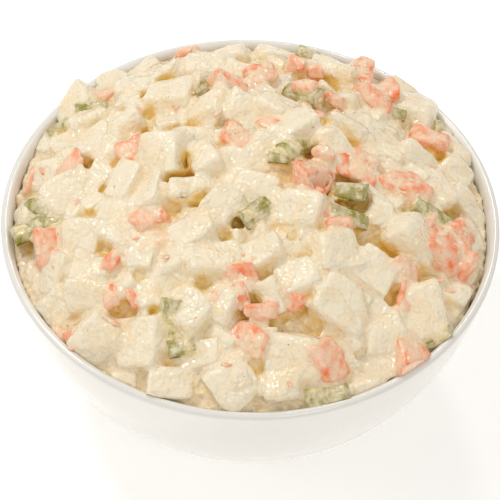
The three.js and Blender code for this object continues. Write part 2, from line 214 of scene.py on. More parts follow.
class Draws:
    """Numbers between 0 and 1 that repeat for the same seed (the minimal standard generator)."""

    MODULUS = 2147483647
    MULTIPLIER = 16807
    SETTLE = 4

    def __init__(self, seed: int) -> None:
        """Starts the run of numbers and drops the first few, which are alike for small seeds.

        Args:
            seed: a whole number above 0.
        """
        self.state = seed
        for _ in range(self.SETTLE):
            self.next()

    def next(self) -> float:
        """The next number between 0 and 1."""
        self.state = self.state * self.MULTIPLIER % self.MODULUS
        return self.state / self.MODULUS

    def between(self, low: float, high: float) -> float:
        """A number between low and high."""
        return low + (high - low) * self.next()

    def either(self) -> float:
        """Minus one or one."""
        return -1.0 if self.next() < 0.5 else 1.0


# --- The forms that everything follows -----------------------------------------------------------


@dataclass(frozen=True)
class BowlForm:
    """The bowl's section, in millimetres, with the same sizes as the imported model's bowl."""

    rim_radius: float = 90.0
    rim_height: float = 80.0
    wall: float = 3.4
    flare: float = 0.166
    belly: float = 13.5
    belly_depth: float = 60.0
    belly_power: float = 2.8
    body_end_depth: float = 74.0
    foot_radius: float = 46.0
    foot_width: float = 3.5
    foot_recess: float = 2.2
    floor_height: float = 7.2
    floor_radius: float = 44.0

    def outer_radius(self, depth: float) -> float:
        """Outer radius at a depth below the rim."""
        bulge = self.belly * (depth / self.belly_depth) ** self.belly_power
        return self.rim_radius - self.flare * depth - bulge

    def inner_radius(self, depth: float) -> float:
        """Inner radius at a depth below the rim, with the wall equally thick square to its slope.

        Args:
            depth: millimetres below the rim.

        Returns:
            The radius in millimetres.
        """
        steepness = self.belly * self.belly_power / self.belly_depth
        slope = self.flare + steepness * (depth / self.belly_depth) ** (self.belly_power - 1)
        return self.outer_radius(depth) - self.wall * math.hypot(1, slope)

    def section(self) -> Profile:
        """The outline of the whole section, from under the middle, round the rim, to the floor.

        Returns:
            Radius and height of each corner, from axis to axis.
        """
        hollow_round, foot_round, foot_edge, neck_reach, floor_round = 2.5, 1.0, 0.9, 0.72, 6
        outer_steps, rim_steps, inner_steps = 40, 12, 30
        lip = self.wall / 2
        foot, recess, ground = self.foot_radius, self.foot_recess, self.floor_height
        inner_foot = foot - self.foot_width
        body_end = self.rim_height - self.body_end_depth
        neck = (self.outer_radius(self.body_end_depth), body_end)
        outline: Profile = [(0, recess), (inner_foot * 0.6, recess)]
        outline += rounded((inner_foot - hollow_round, recess), (inner_foot - 0.4, recess), (inner_foot, 0.5))
        outline += rounded((inner_foot, 0.5), (inner_foot + 0.2, 0), (inner_foot + foot_round, 0))
        outline += rounded((foot - foot_round, 0), (foot - 0.1, 0), (foot, foot_edge))
        outline += rounded((foot, foot_edge + 0.3), (foot + 0.3, body_end * neck_reach), neck)
        outline += [
            (self.outer_radius(depth), self.rim_height - depth)
            for depth in steps(self.body_end_depth - 1, self.wall, outer_steps)
        ]
        outline += [
            (self.rim_radius - lip + lip * math.cos(a), self.rim_height - lip + lip * math.sin(a))
            for a in steps(0, math.pi, rim_steps)
        ]
        outline += [
            (self.inner_radius(depth), self.rim_height - depth)
            for depth in steps(self.wall, self.rim_height - ground - floor_round / 2, inner_steps)
        ]
        corner = (self.floor_radius + floor_round / 2, ground + 0.4)
        floor = rounded(outline[-1], corner, (self.floor_radius - floor_round, ground))
        return [*outline, *floor[1:], (0, ground)]


@dataclass(frozen=True)
class HeapForm:
    """The heap's smooth form, in millimetres, and the room that its pieces have in the bowl."""

    bowl: BowlForm = BowlForm()
    edge_drop: float = 4.0
    mound_rise: float = 28.0
    mound_power: float = 2.2
    back_lean: float = 0.05
    core_sink: float = 4.8
    edge_sink: float = 2.2
    lump_height: float = 1.1
    overhang_radius: float = 88.5
    wall_gap: float = -0.1

    def height(self, x: float, y: float) -> float:
        """Height of the mound's smooth form.

        Args:
            x: millimetres to the right of the axis.
            y: millimetres behind it.

        Returns:
            The height in millimetres.
        """
        share = min(1.0, math.hypot(x, y) / (self.bowl.rim_radius - self.bowl.wall))
        rise = self.mound_rise * (1 - share**self.mound_power)
        return self.bowl.rim_height - self.edge_drop + rise + self.back_lean * max(0.0, y)

    def normal(self, x: float, y: float) -> Vector:
        """Direction straight out of the mound.

        Args:
            x: millimetres to the right of the axis.
            y: millimetres behind it.

        Returns:
            The direction, one long.
        """
        step = 0.5
        slope_x = (self.height(x + step, y) - self.height(x - step, y)) / (2 * step)
        slope_y = (self.height(x, y + step) - self.height(x, y - step)) / (2 * step)
        return Vector((-slope_x, -slope_y, 1)).normalized()

    def core_height(self, x: float, y: float, edge: float) -> float:
        """Height of the uneven core under the pieces.

        Args:
            x: millimetres to the right of the axis.
            y: millimetres behind it.
            edge: the core's radius where it meets the bowl.

        Returns:
            The height in millimetres.
        """
        wave_x, wave_y, wave_across, edge_power = 0.21, 0.19, 0.13, 6
        inwards = 1 - (math.hypot(x, y) / edge) ** edge_power
        sink = self.edge_sink + (self.core_sink - self.edge_sink) * inwards
        waves = math.cos(x * wave_x + 1) * math.cos(y * wave_y) + math.cos((x - y) * wave_across)
        return self.height(x, y) - sink + inwards * (self.lump_height * waves)

    def dented(self, points: np.ndarray, margin: float = 0.0) -> np.ndarray:
        """Presses points in millimetres down into the pits, each widened by a margin.

        Args:
            points: rows of x, y, z in millimetres.
            margin: how much wider to take each pit all round.

        Returns:
            The points, pressed in.
        """
        pressed = points.copy()
        for pit in PITS:
            down = self.normal(pit.x, pit.y) * pit.depth
            pressed -= pit.share(points, margin)[:, None] * np.array(down)
        return pressed

    def room(self, height: float) -> float:
        """How far out the salad may reach at a height: the wall, the rim's round, and over the rim.

        Args:
            height: millimetres above the table.

        Returns:
            The radius in millimetres.
        """
        bowl = self.bowl
        lip = bowl.wall / 2
        lip_height = bowl.rim_height - lip
        if height < lip_height:
            return bowl.inner_radius(bowl.rim_height - height) - self.wall_gap
        over = min(height - lip_height, lip)
        inner_side = bowl.rim_radius - lip - math.sqrt(lip * lip - over * over)
        return min(inner_side - self.wall_gap, self.overhang_radius)

    def keep_inside(self, points: np.ndarray) -> np.ndarray:
        """Presses points in millimetres against the bowl's wall where they would cross it.

        Args:
            points: rows of x, y, z in millimetres.

        Returns:
            The points, moved in towards the bowl's axis where they had to be.
        """
        top, slices, lowest = 140, 561, self.bowl.floor_height + 3
        heights = np.linspace(0, top, slices)
        rooms = np.array([self.room(max(height, lowest)) for height in heights])
        limit = np.interp(points[:, 2], heights, rooms)
        radius = np.hypot(points[:, 0], points[:, 1])
        share = np.where(radius > limit, limit / np.maximum(radius, 1e-6), 1.0)
        pressed = points.copy()
        pressed[:, :2] *= share[:, None]
        return pressed


def steps(start: float, end: float, count: int) -> list[float]:
    """Count + 1 even steps from start to end."""
    return [start + (end - start) * i / count for i in range(count + 1)]


def rounded(start: tuple[float, float], corner: tuple[float, float], end: tuple[float, float]) -> Profile:
    """A curve from start to end that is drawn towards a corner.

    Args:
        start: where the curve starts.
        corner: what draws it.
        end: where it ends.

    Returns:
        The curve's points, both ends among them.
    """
    return [
        tuple((1 - t) ** 2 * a + 2 * t * (1 - t) * b + t * t * c for a, b, c in zip(start, corner, end))
        for t in steps(0, 1, 6)
    ]


# --- Mesh building -------------------------------------------------------------------------------


@dataclass
class Shape:
    """Points in millimetres, faces that index them, and named values at the points."""

    points: np.ndarray
    faces: Faces
    values: dict[str, np.ndarray] = field(default_factory=dict)


def stacked(shapes: Sequence[Shape]) -> tuple[np.ndarray, Faces]:
    """The points of shapes under one another, and their faces renumbered to match.

    Args:
        shapes: what to stack.

    Returns:
        The points as rows, and the faces that index them.
    """
    faces: Faces = []
    start = 0
    for shape in shapes:
        faces.extend(tuple(i + start for i in face) for face in shape.faces)
        start += len(shape.points)
    return np.vstack([shape.points for shape in shapes]), faces


def join_shapes(name: str, shapes: Sequence[Shape]) -> Object:
    """Makes one mesh object of shapes.

    Args:
        name: the object's name.
        shapes: what to join.

    Returns:
        A new object, linked to the scene, smooth shaded, with the shapes' values as attributes.
    """
    points, faces = stacked(shapes)
    values = {
        key: np.concatenate([s.values.get(key, np.zeros(len(s.points))) for s in shapes])
        for key in {key for s in shapes for key in s.values}
    }
    return mesh_object(name, points * MM, faces, values)


def linked(name: str, data: bpy.types.ID) -> Object:
    """A new object of some data, linked to the scene.

    Args:
        name: the object's name.
        data: its mesh, curve, light or camera.

    Returns:
        The new object.
    """
    made = bpy.data.objects.new(name, data)
    bpy.context.scene.collection.objects.link(made)
    return made


def mesh_object(
    name: str,
    points: np.ndarray,
    faces: Sequence[Sequence[int]],
    values: dict[str, np.ndarray] | None = None,
) -> Object:
    """Makes a smooth mesh object.

    Args:
        name: the object's name.
        points: rows of x, y, z in metres.
        faces: indices of each face's points.
        values: numbers at the points, stored as named attributes.

    Returns:
        The new object, linked to the scene.
    """
    mesh = bpy.data.meshes.new(name)
    mesh.from_pydata(points.tolist(), [], list(faces))
    for key, numbers in sorted((values or {}).items()):
        write_values(mesh, key, numbers)
    mesh.polygons.foreach_set("use_smooth", [True] * len(mesh.polygons))
    mesh.update()
    return linked(name, mesh)


def write_values(mesh: Mesh, key: str, numbers: np.ndarray) -> None:
    """Stores one number at each point of a mesh as a named attribute."""
    layer = mesh.attributes.new(key, "FLOAT", "POINT")
    layer.data.foreach_set("value", np.asarray(numbers, dtype=np.float32))


def read_rows(items: bpy.types.bpy_prop_collection, key: str, kind: type, width: int) -> np.ndarray:
    """A row of numbers for each of a mesh's points, directions or edges.

    Args:
        items: the mesh's points, directions or edges.
        key: what to read of each.
        kind: the numbers' type.
        width: how many numbers each has.

    Returns:
        The rows.
    """
    flat = np.empty(len(items) * width, dtype=kind)
    items.foreach_get(key, flat)
    return flat.reshape(-1, width)


def read_points(mesh: Mesh) -> np.ndarray:
    """The mesh's points as rows of x, y, z."""
    return read_rows(mesh.vertices, "co", np.float32, 3).astype(float)


def read_normals(mesh: Mesh) -> np.ndarray:
    """The direction straight out of the surface at each point."""
    return read_rows(mesh.vertex_normals, "vector", np.float32, 3).astype(float)


def edge_pairs(mesh: Mesh) -> np.ndarray:
    """The two point indices of every edge."""
    return read_rows(mesh.edges, "vertices", np.int32, 2)


def write_points(mesh: Mesh, points: np.ndarray) -> None:
    """Moves the mesh's points."""
    mesh.vertices.foreach_set("co", points.astype(np.float32).ravel())
    mesh.update()


def settle_modifiers(piece: Object) -> None:
    """Applies an object's modifiers by taking its evaluated mesh, then removes them.

    Args:
        piece: the object, which keeps the result as its own plain mesh.
    """
    graph = bpy.context.evaluated_depsgraph_get()
    made = bpy.data.meshes.new_from_object(piece.evaluated_get(graph), depsgraph=graph)
    old = piece.data
    piece.modifiers.clear()
    piece.data = made
    made.name = piece.name
    if old.users == 0 and isinstance(old, Mesh):
        bpy.data.meshes.remove(old)


def remesh(piece: Object, voxel: float) -> None:
    """Fuses an object's closed shapes into one even skin of small squares, voxel millimetres wide.

    Args:
        piece: the mesh object, changed in place.
        voxel: the squares' width.
    """
    modifier = piece.modifiers.new("skin", "REMESH")
    modifier.mode = "VOXEL"
    modifier.voxel_size = voxel * MM
    modifier.use_smooth_shade = True
    settle_modifiers(piece)


def thin_out(piece: Object, most: int) -> None:
    """Merges a mesh's flattest faces until it has no more than a number of triangles.

    Args:
        piece: the mesh object, changed in place.
        most: how many triangles may stay.
    """
    triangles = sum(len(face.vertices) - 2 for face in piece.data.polygons)
    if triangles > most:
        modifier = piece.modifiers.new("fewer", "DECIMATE")
        modifier.ratio = most / triangles
        settle_modifiers(piece)
        piece.data.polygons.foreach_set("use_smooth", [True] * len(piece.data.polygons))
    LOG.info("%s: %d triangles thinned to %d", piece.name, triangles, len(piece.data.polygons))


def swell(piece: Object, distance: float) -> None:
    """Moves a surface out along its normals by a distance in millimetres, or in if negative."""
    mesh = piece.data
    write_points(mesh, read_points(mesh) + read_normals(mesh) * distance * MM)


def averaged(points: np.ndarray, pairs: np.ndarray, rounds: int, share: float = 0.5) -> np.ndarray:
    """Evens values out along edges.

    Args:
        points: rows of numbers, one row for each point.
        pairs: the edges' point indices.
        rounds: how many times to average with the neighbours.
        share: how far each point moves to its neighbours' mean.

    Returns:
        The evened rows.
    """
    a, b = pairs[:, 0], pairs[:, 1]
    count = len(points)
    valence = np.maximum(np.bincount(a, minlength=count) + np.bincount(b, minlength=count), 1)
    result = points.copy()
    for _ in range(rounds):
        for axis in range(result.shape[1]):
            column = result[:, axis]
            total = np.bincount(a, column[b], count) + np.bincount(b, column[a], count)
            result[:, axis] = column * (1 - share) + share * total / valence
    return result


def tree_of(shapes: Sequence[Shape]) -> BVHTree:
    """A search tree over the faces of shapes, in millimetres."""
    points, faces = stacked(shapes)
    return BVHTree.FromPolygons(points.tolist(), faces)


# Rays that look out of a surface: how far each ring of them leans, in degrees, and their number.
RAY_RINGS = ((0.0, 1), (32.0, 4), (62.0, 6))


def crowding(points: np.ndarray, normals: np.ndarray, tree: BVHTree, reach: float) -> np.ndarray:
    """How far each point of a surface is hemmed in by what stands round it.

    Args:
        points: rows of x, y, z in millimetres.
        normals: the direction straight out of the surface at each point.
        tree: what may stand in the way.
        reach: how far away, in millimetres, something still counts.

    Returns:
        For each point 0 in the open to 1 at the bottom of a deep gap.
    """
    start_gap, far_share, turned_from = 0.15, 0.5, 4
    helper = np.where(np.abs(normals[:, 2:]) < 0.9, [[0.0, 0.0, 1.0]], [[1.0, 0.0, 0.0]])
    side = np.cross(normals, helper)
    side /= np.maximum(np.linalg.norm(side, axis=1), 1e-9)[:, None]
    other = np.cross(normals, side)
    starts = points + normals * start_gap
    blocked = np.zeros(len(points))
    total = 0.0
    for lean, count in RAY_RINGS:
        up, out = math.cos(math.radians(lean)), math.sin(math.radians(lean))
        for k in range(count):
            angle = 2 * math.pi * (k + 0.5 * (count > turned_from)) / count
            rays = normals * up + (side * math.cos(angle) + other * math.sin(angle)) * out
            total += up
            for i, (start, ray) in enumerate(zip(starts, rays)):
                distance = tree.ray_cast(start, ray, reach)[3]
                if distance is not None:
                    blocked[i] += up * (1 - far_share * distance / reach)
    return blocked / total


def turned(profile: Profile, turns: int) -> Shape:
    """A closed form turned round the axis, from an outline that starts and ends on the axis.

    Args:
        profile: radius and height of each corner, from axis to axis.
        turns: steps round the axis.

    Returns:
        The closed form.
    """
    angles = np.linspace(0, 2 * math.pi, turns, endpoint=False)
    rings = profile[1:-1]
    points = [(0.0, 0.0, profile[0][1])]
    points += [(r * math.cos(a), r * math.sin(a), z) for r, z in rings for a in angles]
    points.append((0.0, 0.0, profile[-1][1]))
    last = len(points) - 1
    faces: Faces = []
    for i in range(turns):
        j = (i + 1) % turns
        faces.append((0, 1 + j, 1 + i))
        for k in range(len(rings) - 1):
            low, high = 1 + k * turns, 1 + (k + 1) * turns
            faces.append((low + i, low + j, high + j, high + i))
        top = 1 + (len(rings) - 1) * turns
        faces.append((top + i, top + j, last))
    return Shape(np.array(points), faces)


# --- The salad's pieces --------------------------------------------------------------------------


def ball_grid(parts: int) -> tuple[np.ndarray, Faces]:
    """A cube's surface as a grid whose lines crowd towards its edges.

    Args:
        parts: squares along each edge.

    Returns:
        The points on the cube from -1 to 1, and the faces.
    """
    stops = [math.sin(u * math.pi / 2) for u in steps(-1, 1, parts)]
    index: dict[tuple[int, ...], int] = {}
    points: list[tuple[float, ...]] = []
    faces: Faces = []

    def at(cell: tuple[int, ...]) -> int:
        """The index of a grid point, made when first met.

        Args:
            cell: the point's place along each axis, in squares.

        Returns:
            Its index.
        """
        if cell not in index:
            index[cell] = len(points)
            points.append(tuple(stops[i] for i in cell))
        return index[cell]

    for axis in range(3):
        u, v = (axis + 1) % 3, (axis + 2) % 3
        for side in (0, parts):
            for i in range(parts):
                for j in range(parts):
                    ring = []
                    for di, dj in ((0, 0), (1, 0), (1, 1), (0, 1)):
                        cell = [0, 0, 0]
                        cell[axis], cell[u], cell[v] = side, i + di, j + dj
                        ring.append(at(tuple(cell)))
                    faces.append(tuple(ring if side else reversed(ring)))
    return np.array(points), faces


class Piece:
    """One piece of the salad in its place: what it is, how it lies and how it is cut."""

    CELERY_WALL = 3.2
    CELERY_HALF_ARC = math.radians(55)
    SEED_STRIDE = 13
    TONE_SEED, TONE_STRIDE = 7, 31

    def __init__(self, chunk: Chunk, kind: Kind, index: int, heap: HeapForm) -> None:
        """Works the piece out from its row, its number and the heap it lies in.

        Args:
            chunk: its row.
            kind: what it is cut from.
            index: its number among all the pieces.
            heap: the form it lies on.
        """
        self.chunk = chunk
        self.kind = kind
        self.index = index
        self.cut = CUTS[kind]
        self.draws = Draws(self.cut.seed + self.SEED_STRIDE * index)
        self.length = chunk.length * self.cut.fit
        self.width = chunk.width * self.cut.fit
        self.thickness = self.width * self.draws.between(*self.cut.thick)
        self.place = self._placement(heap)
        self.half = np.array([self.length, self.width, self.thickness]) / 2
        self.planes = self._planes() if kind is not Kind.CELERY else (np.zeros((0, 3)), np.zeros(0))
        self.tone = Draws(self.TONE_SEED + self.TONE_STRIDE * index).next()

    def _placement(self, heap: HeapForm) -> Matrix:
        """Where the piece lies, with its length, width and thickness along its own axes.

        Args:
            heap: the form it lies on.

        Returns:
            The turn and move from the piece's own axes to the heap.
        """
        chunk = self.chunk
        tip = math.radians(self.cut.tip)
        normal = heap.normal(chunk.x, chunk.y)
        heading = math.radians(chunk.turn)
        along = Vector((math.cos(heading), math.sin(heading), 0))
        along = (along - normal * along.dot(normal)).normalized()
        across = normal.cross(along)
        axes = Matrix((along, across, normal)).transposed().to_4x4()
        roll = Matrix.Rotation(self.draws.between(-tip, tip), 4, "X")
        pitch = Matrix.Rotation(self.draws.between(-tip, tip), 4, "Y")
        middle = Vector((chunk.x, chunk.y, heap.height(chunk.x, chunk.y)))
        stand = self.cut.proud + chunk.lift + self.cut.grow * (chunk.width - TYPICAL_WIDTH)
        stand += self.draws.between(-self.cut.uneven, self.cut.uneven)
        middle += normal * (stand - self.thickness / 2)
        return Matrix.Translation(middle) @ axes @ roll @ pitch

    def _planes(self) -> tuple[np.ndarray, np.ndarray]:
        """The flat cuts that bound the chunk: three skewed pairs of faces and cut-off corners.

        Returns:
            The cuts' directions and their distances from the piece's middle.
        """
        normals: list[np.ndarray] = []
        distances: list[float] = []
        for axis in range(3):
            for side in (-1.0, 1.0):
                skew = self.cut.skew
                normal = np.array([side if i == axis else self.draws.between(-skew, skew) for i in range(3)])
                normals.append(normal / np.linalg.norm(normal))
                distances.append(self.half[axis])
        for _ in range(self.cut.corners):
            lean = []
            for axis in range(3):
                sign = self.draws.either()
                lean.append(sign * self.draws.between(0.25, 1) / self.half[axis])
            normal = np.array(lean) / np.linalg.norm(lean)
            normals.append(normal)
            distances.append(float(np.abs(normal) @ self.half) * self.draws.between(*self.cut.trim))
        return np.array(normals), np.array(distances)

    def placed(self, points: np.ndarray) -> np.ndarray:
        """The piece's own points moved to where it lies."""
        matrix = np.array(self.place)
        return points @ matrix[:3, :3].T + matrix[:3, 3]


@dataclass(frozen=True)
class FillRule:
    """Small dice scattered in the hollows between the others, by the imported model's own rule."""

    seed: int = 77
    tries: int = 1500
    size: tuple[float, float] = (7, 12)
    clearance: float = 0.64
    reach: float = 81
    sink: float = 1.5

    def rows(self, taken: Sequence[Chunk]) -> list[Chunk]:
        """Seeded throws, kept where they clear what lies there already.

        Args:
            taken: the pieces that lie there already.

        Returns:
            The small dice.
        """
        draws = Draws(self.seed)
        rows: list[Chunk] = []
        for _ in range(self.tries):
            x = draws.between(-self.reach, self.reach)
            y = draws.between(-self.reach, self.reach)
            size = draws.between(*self.size)
            width = size * draws.between(0.75, 1)
            row = Chunk(x, y, size, width, draws.between(0, 180), -self.sink)
            clear = all(
                math.hypot(x - o.x, y - o.y) > self.clearance * ((o.length + o.width) / 4 + size / 2)
                for o in [*taken, *rows]
            )
            if math.hypot(x, y) < self.reach and clear:
                rows.append(row)
        return rows


def laid_out(heap: HeapForm) -> list[Piece]:
    """Every piece of the salad in its place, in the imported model's own order.

    Args:
        heap: the form they lie on.

    Returns:
        The pieces, those with a row of their own first.
    """
    tables = ((Kind.POTATO, POTATOES), (Kind.CARROT, CARROTS), (Kind.CELERY, CELERY))
    rows = [(Chunk(*row), kind) for kind, table in tables for row in table]
    rows += [(chunk, Kind.POTATO) for chunk in FillRule().rows([chunk for chunk, _ in rows])]
    return [Piece(chunk, kind, index, heap) for index, (chunk, kind) in enumerate(rows)]


@dataclass(frozen=True)
class ChunkCut:
    """How a chunk's planes become a soft solid: its roundness and the unevenness of its faces.

    Waves and grain are heights and sizes in millimetres, and each piece has its own, from a shift
    of the noise that goes with its number.
    """

    SHIFT_X, SHIFT_Y = 7.3, 3.1

    parts: int
    roundness: float
    wave: float
    wave_size: float
    grain: float
    grain_size: float

    def shape(self, piece: Piece, heap: HeapForm, shrink: float = 0.0) -> Shape:
        """The chunk with soft edges.

        Args:
            piece: the piece to shape.
            heap: the form that keeps it inside the bowl.
            shrink: how much smaller to make it all round, in millimetres.

        Returns:
            The chunk in its place, with its tone.
        """
        cube, faces = ball_grid(self.parts)
        directions = cube * piece.half
        directions /= np.linalg.norm(directions, axis=1)[:, None]
        normals, distances = piece.planes
        facing = np.maximum(directions @ normals.T, 0) / distances
        radius = (facing**self.roundness).sum(axis=1) ** (-1 / self.roundness)
        shift = Vector((piece.index * self.SHIFT_X, piece.index * self.SHIFT_Y, 0))
        for i, direction in enumerate(directions):
            at = Vector(direction * radius[i])
            radius[i] += self.wave * noise.noise(at / self.wave_size + shift)
            radius[i] += self.grain * noise.noise(at / self.grain_size - shift)
        points = piece.placed(directions * (radius - shrink)[:, None])
        ordered = np.sort(facing, axis=1)
        values = {"tone": np.full(len(points), piece.tone), "edge": ordered[:, -2] / ordered[:, -1]}
        return Shape(heap.keep_inside(heap.dented(points, PIT_MARGIN)), faces, values)


@dataclass(frozen=True)
class CeleryCut:
    """A length of celery: a curved wall with ribs along its outside, cut square at its ends."""

    ribs: int = 7
    rib_height: float = 0.09
    across: int = 36
    along: int = 7
    through: int = 5
    end_round: float = 0.5
    end_power: int = 8

    def shape(self, piece: Piece, heap: HeapForm, shrink: float = 0.0) -> Shape:
        """The length of celery in its place.

        Args:
            piece: the piece to shape.
            heap: the form that keeps it inside the bowl.
            shrink: how much smaller to make it all round, in millimetres.

        Returns:
            The celery, with its tone and how near each point is to the green skin.
        """
        arc = Piece.CELERY_HALF_ARC
        outer = piece.width / 2 / math.sin(arc)
        wall = min(Piece.CELERY_WALL, piece.thickness)
        middle = outer - wall / 2
        ring: list[tuple[float, float, float]] = []
        for angle in steps(-arc, arc, self.across):
            edge = 1 - self.end_round * (abs(angle) / arc) ** self.end_power * wall / outer
            rib = self.rib_height * math.cos(angle / arc * self.ribs * math.pi)
            ring.append((angle, (outer + rib) * edge - shrink, 1.0))
        for share in steps(0, 1, self.through)[1:-1]:
            ring.append((arc, outer - wall * share, 1 - share))
        for angle in steps(arc, -arc, self.across // 2):
            ring.append((angle, outer - wall + shrink, 0.0))
        for share in steps(1, 0, self.through)[1:-1]:
            ring.append((-arc, outer - wall * share, 1 - share))
        count = len(ring)
        half = piece.length / 2 - shrink
        stops = steps(-half, half, self.along)
        points = [
            (stop, radius * math.sin(angle), radius * math.cos(angle) - middle)
            for stop in stops
            for angle, radius, _ in ring
        ]
        skin = [near for _ in stops for _, _, near in ring]
        faces: Faces = []
        for k in range(len(stops) - 1):
            for i in range(count):
                j = (i + 1) % count
                faces.append((k * count + i, k * count + j, (k + 1) * count + j, (k + 1) * count + i))
        faces.append(tuple(reversed(range(count))))
        faces.append(tuple((len(stops) - 1) * count + i for i in range(count)))
        placed = piece.placed(np.array(points))
        values = {"tone": np.full(len(placed), piece.tone), "skin": np.array(skin)}
        return Shape(heap.keep_inside(heap.dented(placed, PIT_MARGIN)), faces, values)


CUT_SHAPES: dict[Kind, ChunkCut | CeleryCut] = {
    Kind.POTATO: ChunkCut(parts=8, roundness=9, wave=1.0, wave_size=6, grain=0.2, grain_size=2.4),
    Kind.CARROT: ChunkCut(parts=12, roundness=7, wave=1.3, wave_size=4.5, grain=0.3, grain_size=1.6),
    Kind.CELERY: CeleryCut(),
}


# --- Materials -----------------------------------------------------------------------------------


def linear(red: int, green: int, blue: int) -> Colour:
    """A colour given as it looks on a screen, 0 to 255, as the shader's own numbers."""
    shares = (value / 255 for value in (red, green, blue))
    return tuple(s / 12.92 if s <= 0.04045 else ((s + 0.055) / 1.055) ** 2.4 for s in shares)


class Wiring:
    """Short ways to add and join nodes in one tree."""

    # Where the Mix node keeps the sockets of its colours.
    COLOUR_A, COLOUR_B, COLOUR_RESULT = 6, 7, 2

    def __init__(self, tree: NodeTree) -> None:
        """Works on one tree."""
        self.tree = tree

    def join(self, source: object, target: NodeSocket) -> None:
        """Links a socket to an input, or sets the input where the source is a plain value.

        Args:
            source: a socket, or a number, colour or vector.
            target: the input.
        """
        if isinstance(source, NodeSocket):
            self.tree.links.new(source, target)
        else:
            target.default_value = (*source, 1.0) if target.type == "RGBA" else source

    def node(self, kind: str, feeds: dict | None = None, **settings: object) -> Node:
        """A new node of a kind, with its settings, and with inputs fed by name or number.

        Args:
            kind: the node's type.
            feeds: what goes into which input.
            settings: the node's own settings.

        Returns:
            The new node.
        """
        made = self.tree.nodes.new(kind)
        for key, value in settings.items():
            setattr(made, key, value)
        for key, source in (feeds or {}).items():
            self.join(source, made.inputs[key])
        return made

    def math(self, operation: str, *values: object, clamp: bool = False) -> NodeSocket:
        """The result of one sum."""
        feeds = dict(enumerate(values))
        return self.node("ShaderNodeMath", feeds, operation=operation, use_clamp=clamp).outputs[0]

    def mix(self, share: object, a: object, b: object, kind: str = "MIX") -> NodeSocket:
        """A colour between two others, or the second laid on the first in a kind of blend.

        Args:
            share: how much of the second shows.
            a: the first colour.
            b: the second.
            kind: the kind of blend.

        Returns:
            The colour.
        """
        feeds = {"Factor": share, self.COLOUR_A: a, self.COLOUR_B: b}
        made = self.node("ShaderNodeMix", feeds, data_type="RGBA", blend_type=kind)
        return made.outputs[self.COLOUR_RESULT]

    def ramp(self, value: object, low: object, high: object) -> NodeSocket:
        """0 below low, 1 above high and a smooth rise between."""
        feeds = {"Value": value, "From Min": low, "From Max": high}
        return self.node("ShaderNodeMapRange", feeds, interpolation_type="SMOOTHSTEP").outputs["Result"]

    def noise(self, scale: object, detail: float, place: NodeSocket, rough: float = 0.5) -> NodeSocket:
        """A cloudy value between 0 and 1 at a scale given in features per metre."""
        feeds = {"Vector": place, "Scale": scale, "Detail": detail, "Roughness": rough}
        return self.node("ShaderNodeTexNoise", feeds).outputs["Fac"]

    def place(self) -> NodeSocket:
        """Where the point is on the object."""
        return self.node("ShaderNodeTexCoord").outputs["Object"]

    def value_of(self, key: str) -> NodeSocket:
        """The number that the mesh holds at the point under a name."""
        return self.node("ShaderNodeAttribute", attribute_name=key).outputs["Fac"]

    def split(self, vector: NodeSocket) -> bpy.types.NodeOutputs:
        """A vector's parts X, Y and Z."""
        return self.node("ShaderNodeSeparateXYZ", {"Vector": vector}).outputs

    def vector(self, **parts: NodeSocket) -> NodeSocket:
        """A vector of parts X, Y and Z, where a part that isn't given is 0."""
        return self.node("ShaderNodeCombineXYZ", parts).outputs["Vector"]


def group_tree(name: str, takes: dict[str, object], *gives: str) -> tuple:
    """Starts a shader node group.

    Args:
        name: the group's name.
        takes: its inputs' names and starting values; a tuple is a colour.
        gives: its outputs' names; the one called Color is a colour and any other is a number.

    Returns:
        The tree's wiring, and the sockets of the inputs and of the outputs, by name.
    """
    tree = bpy.data.node_groups.new(name, "ShaderNodeTree")
    for key, start in takes.items():
        kind = "NodeSocketColor" if isinstance(start, tuple) else "NodeSocketFloat"
        socket = tree.interface.new_socket(key, in_out="INPUT", socket_type=kind)
        socket.default_value = (*start, 1.0) if isinstance(start, tuple) else start
    for key in gives:
        kind = "NodeSocketColor" if key == "Color" else "NodeSocketFloat"
        tree.interface.new_socket(key, in_out="OUTPUT", socket_type=kind)
    wiring = Wiring(tree)
    return wiring, wiring.node("NodeGroupInput").outputs, wiring.node("NodeGroupOutput").inputs


def mottle_group() -> NodeTree:
    """Uneven colour: two colours in soft clouds, with finer flecks of the second.

    Returns:
        The group, which gives a colour and the mask of its second colour.
    """
    cloud_edges, fleck_edges, fleck_strength = (0.35, 0.68), (0.5, 0.75), 0.45
    takes = {
        "Light": (1.0, 1.0, 1.0),
        "Deep": (0.5, 0.5, 0.5),
        "Cloud Scale": 90.0,
        "Fleck Scale": 700.0,
        "Share": 0.5,
    }
    wiring, given, out = group_tree("mottle", takes, "Color", "Mask")
    place = wiring.place()
    cloud = wiring.ramp(wiring.noise(given["Cloud Scale"], 3.0, place), *cloud_edges)
    fleck = wiring.ramp(wiring.noise(given["Fleck Scale"], 2.0, place), *fleck_edges)
    both = wiring.math("MULTIPLY_ADD", fleck, fleck_strength, cloud, clamp=True)
    mask = wiring.math("MULTIPLY", both, given["Share"], clamp=True)
    wiring.join(wiring.mix(mask, given["Light"], given["Deep"]), out["Color"])
    wiring.join(mask, out["Mask"])
    return wiring.tree


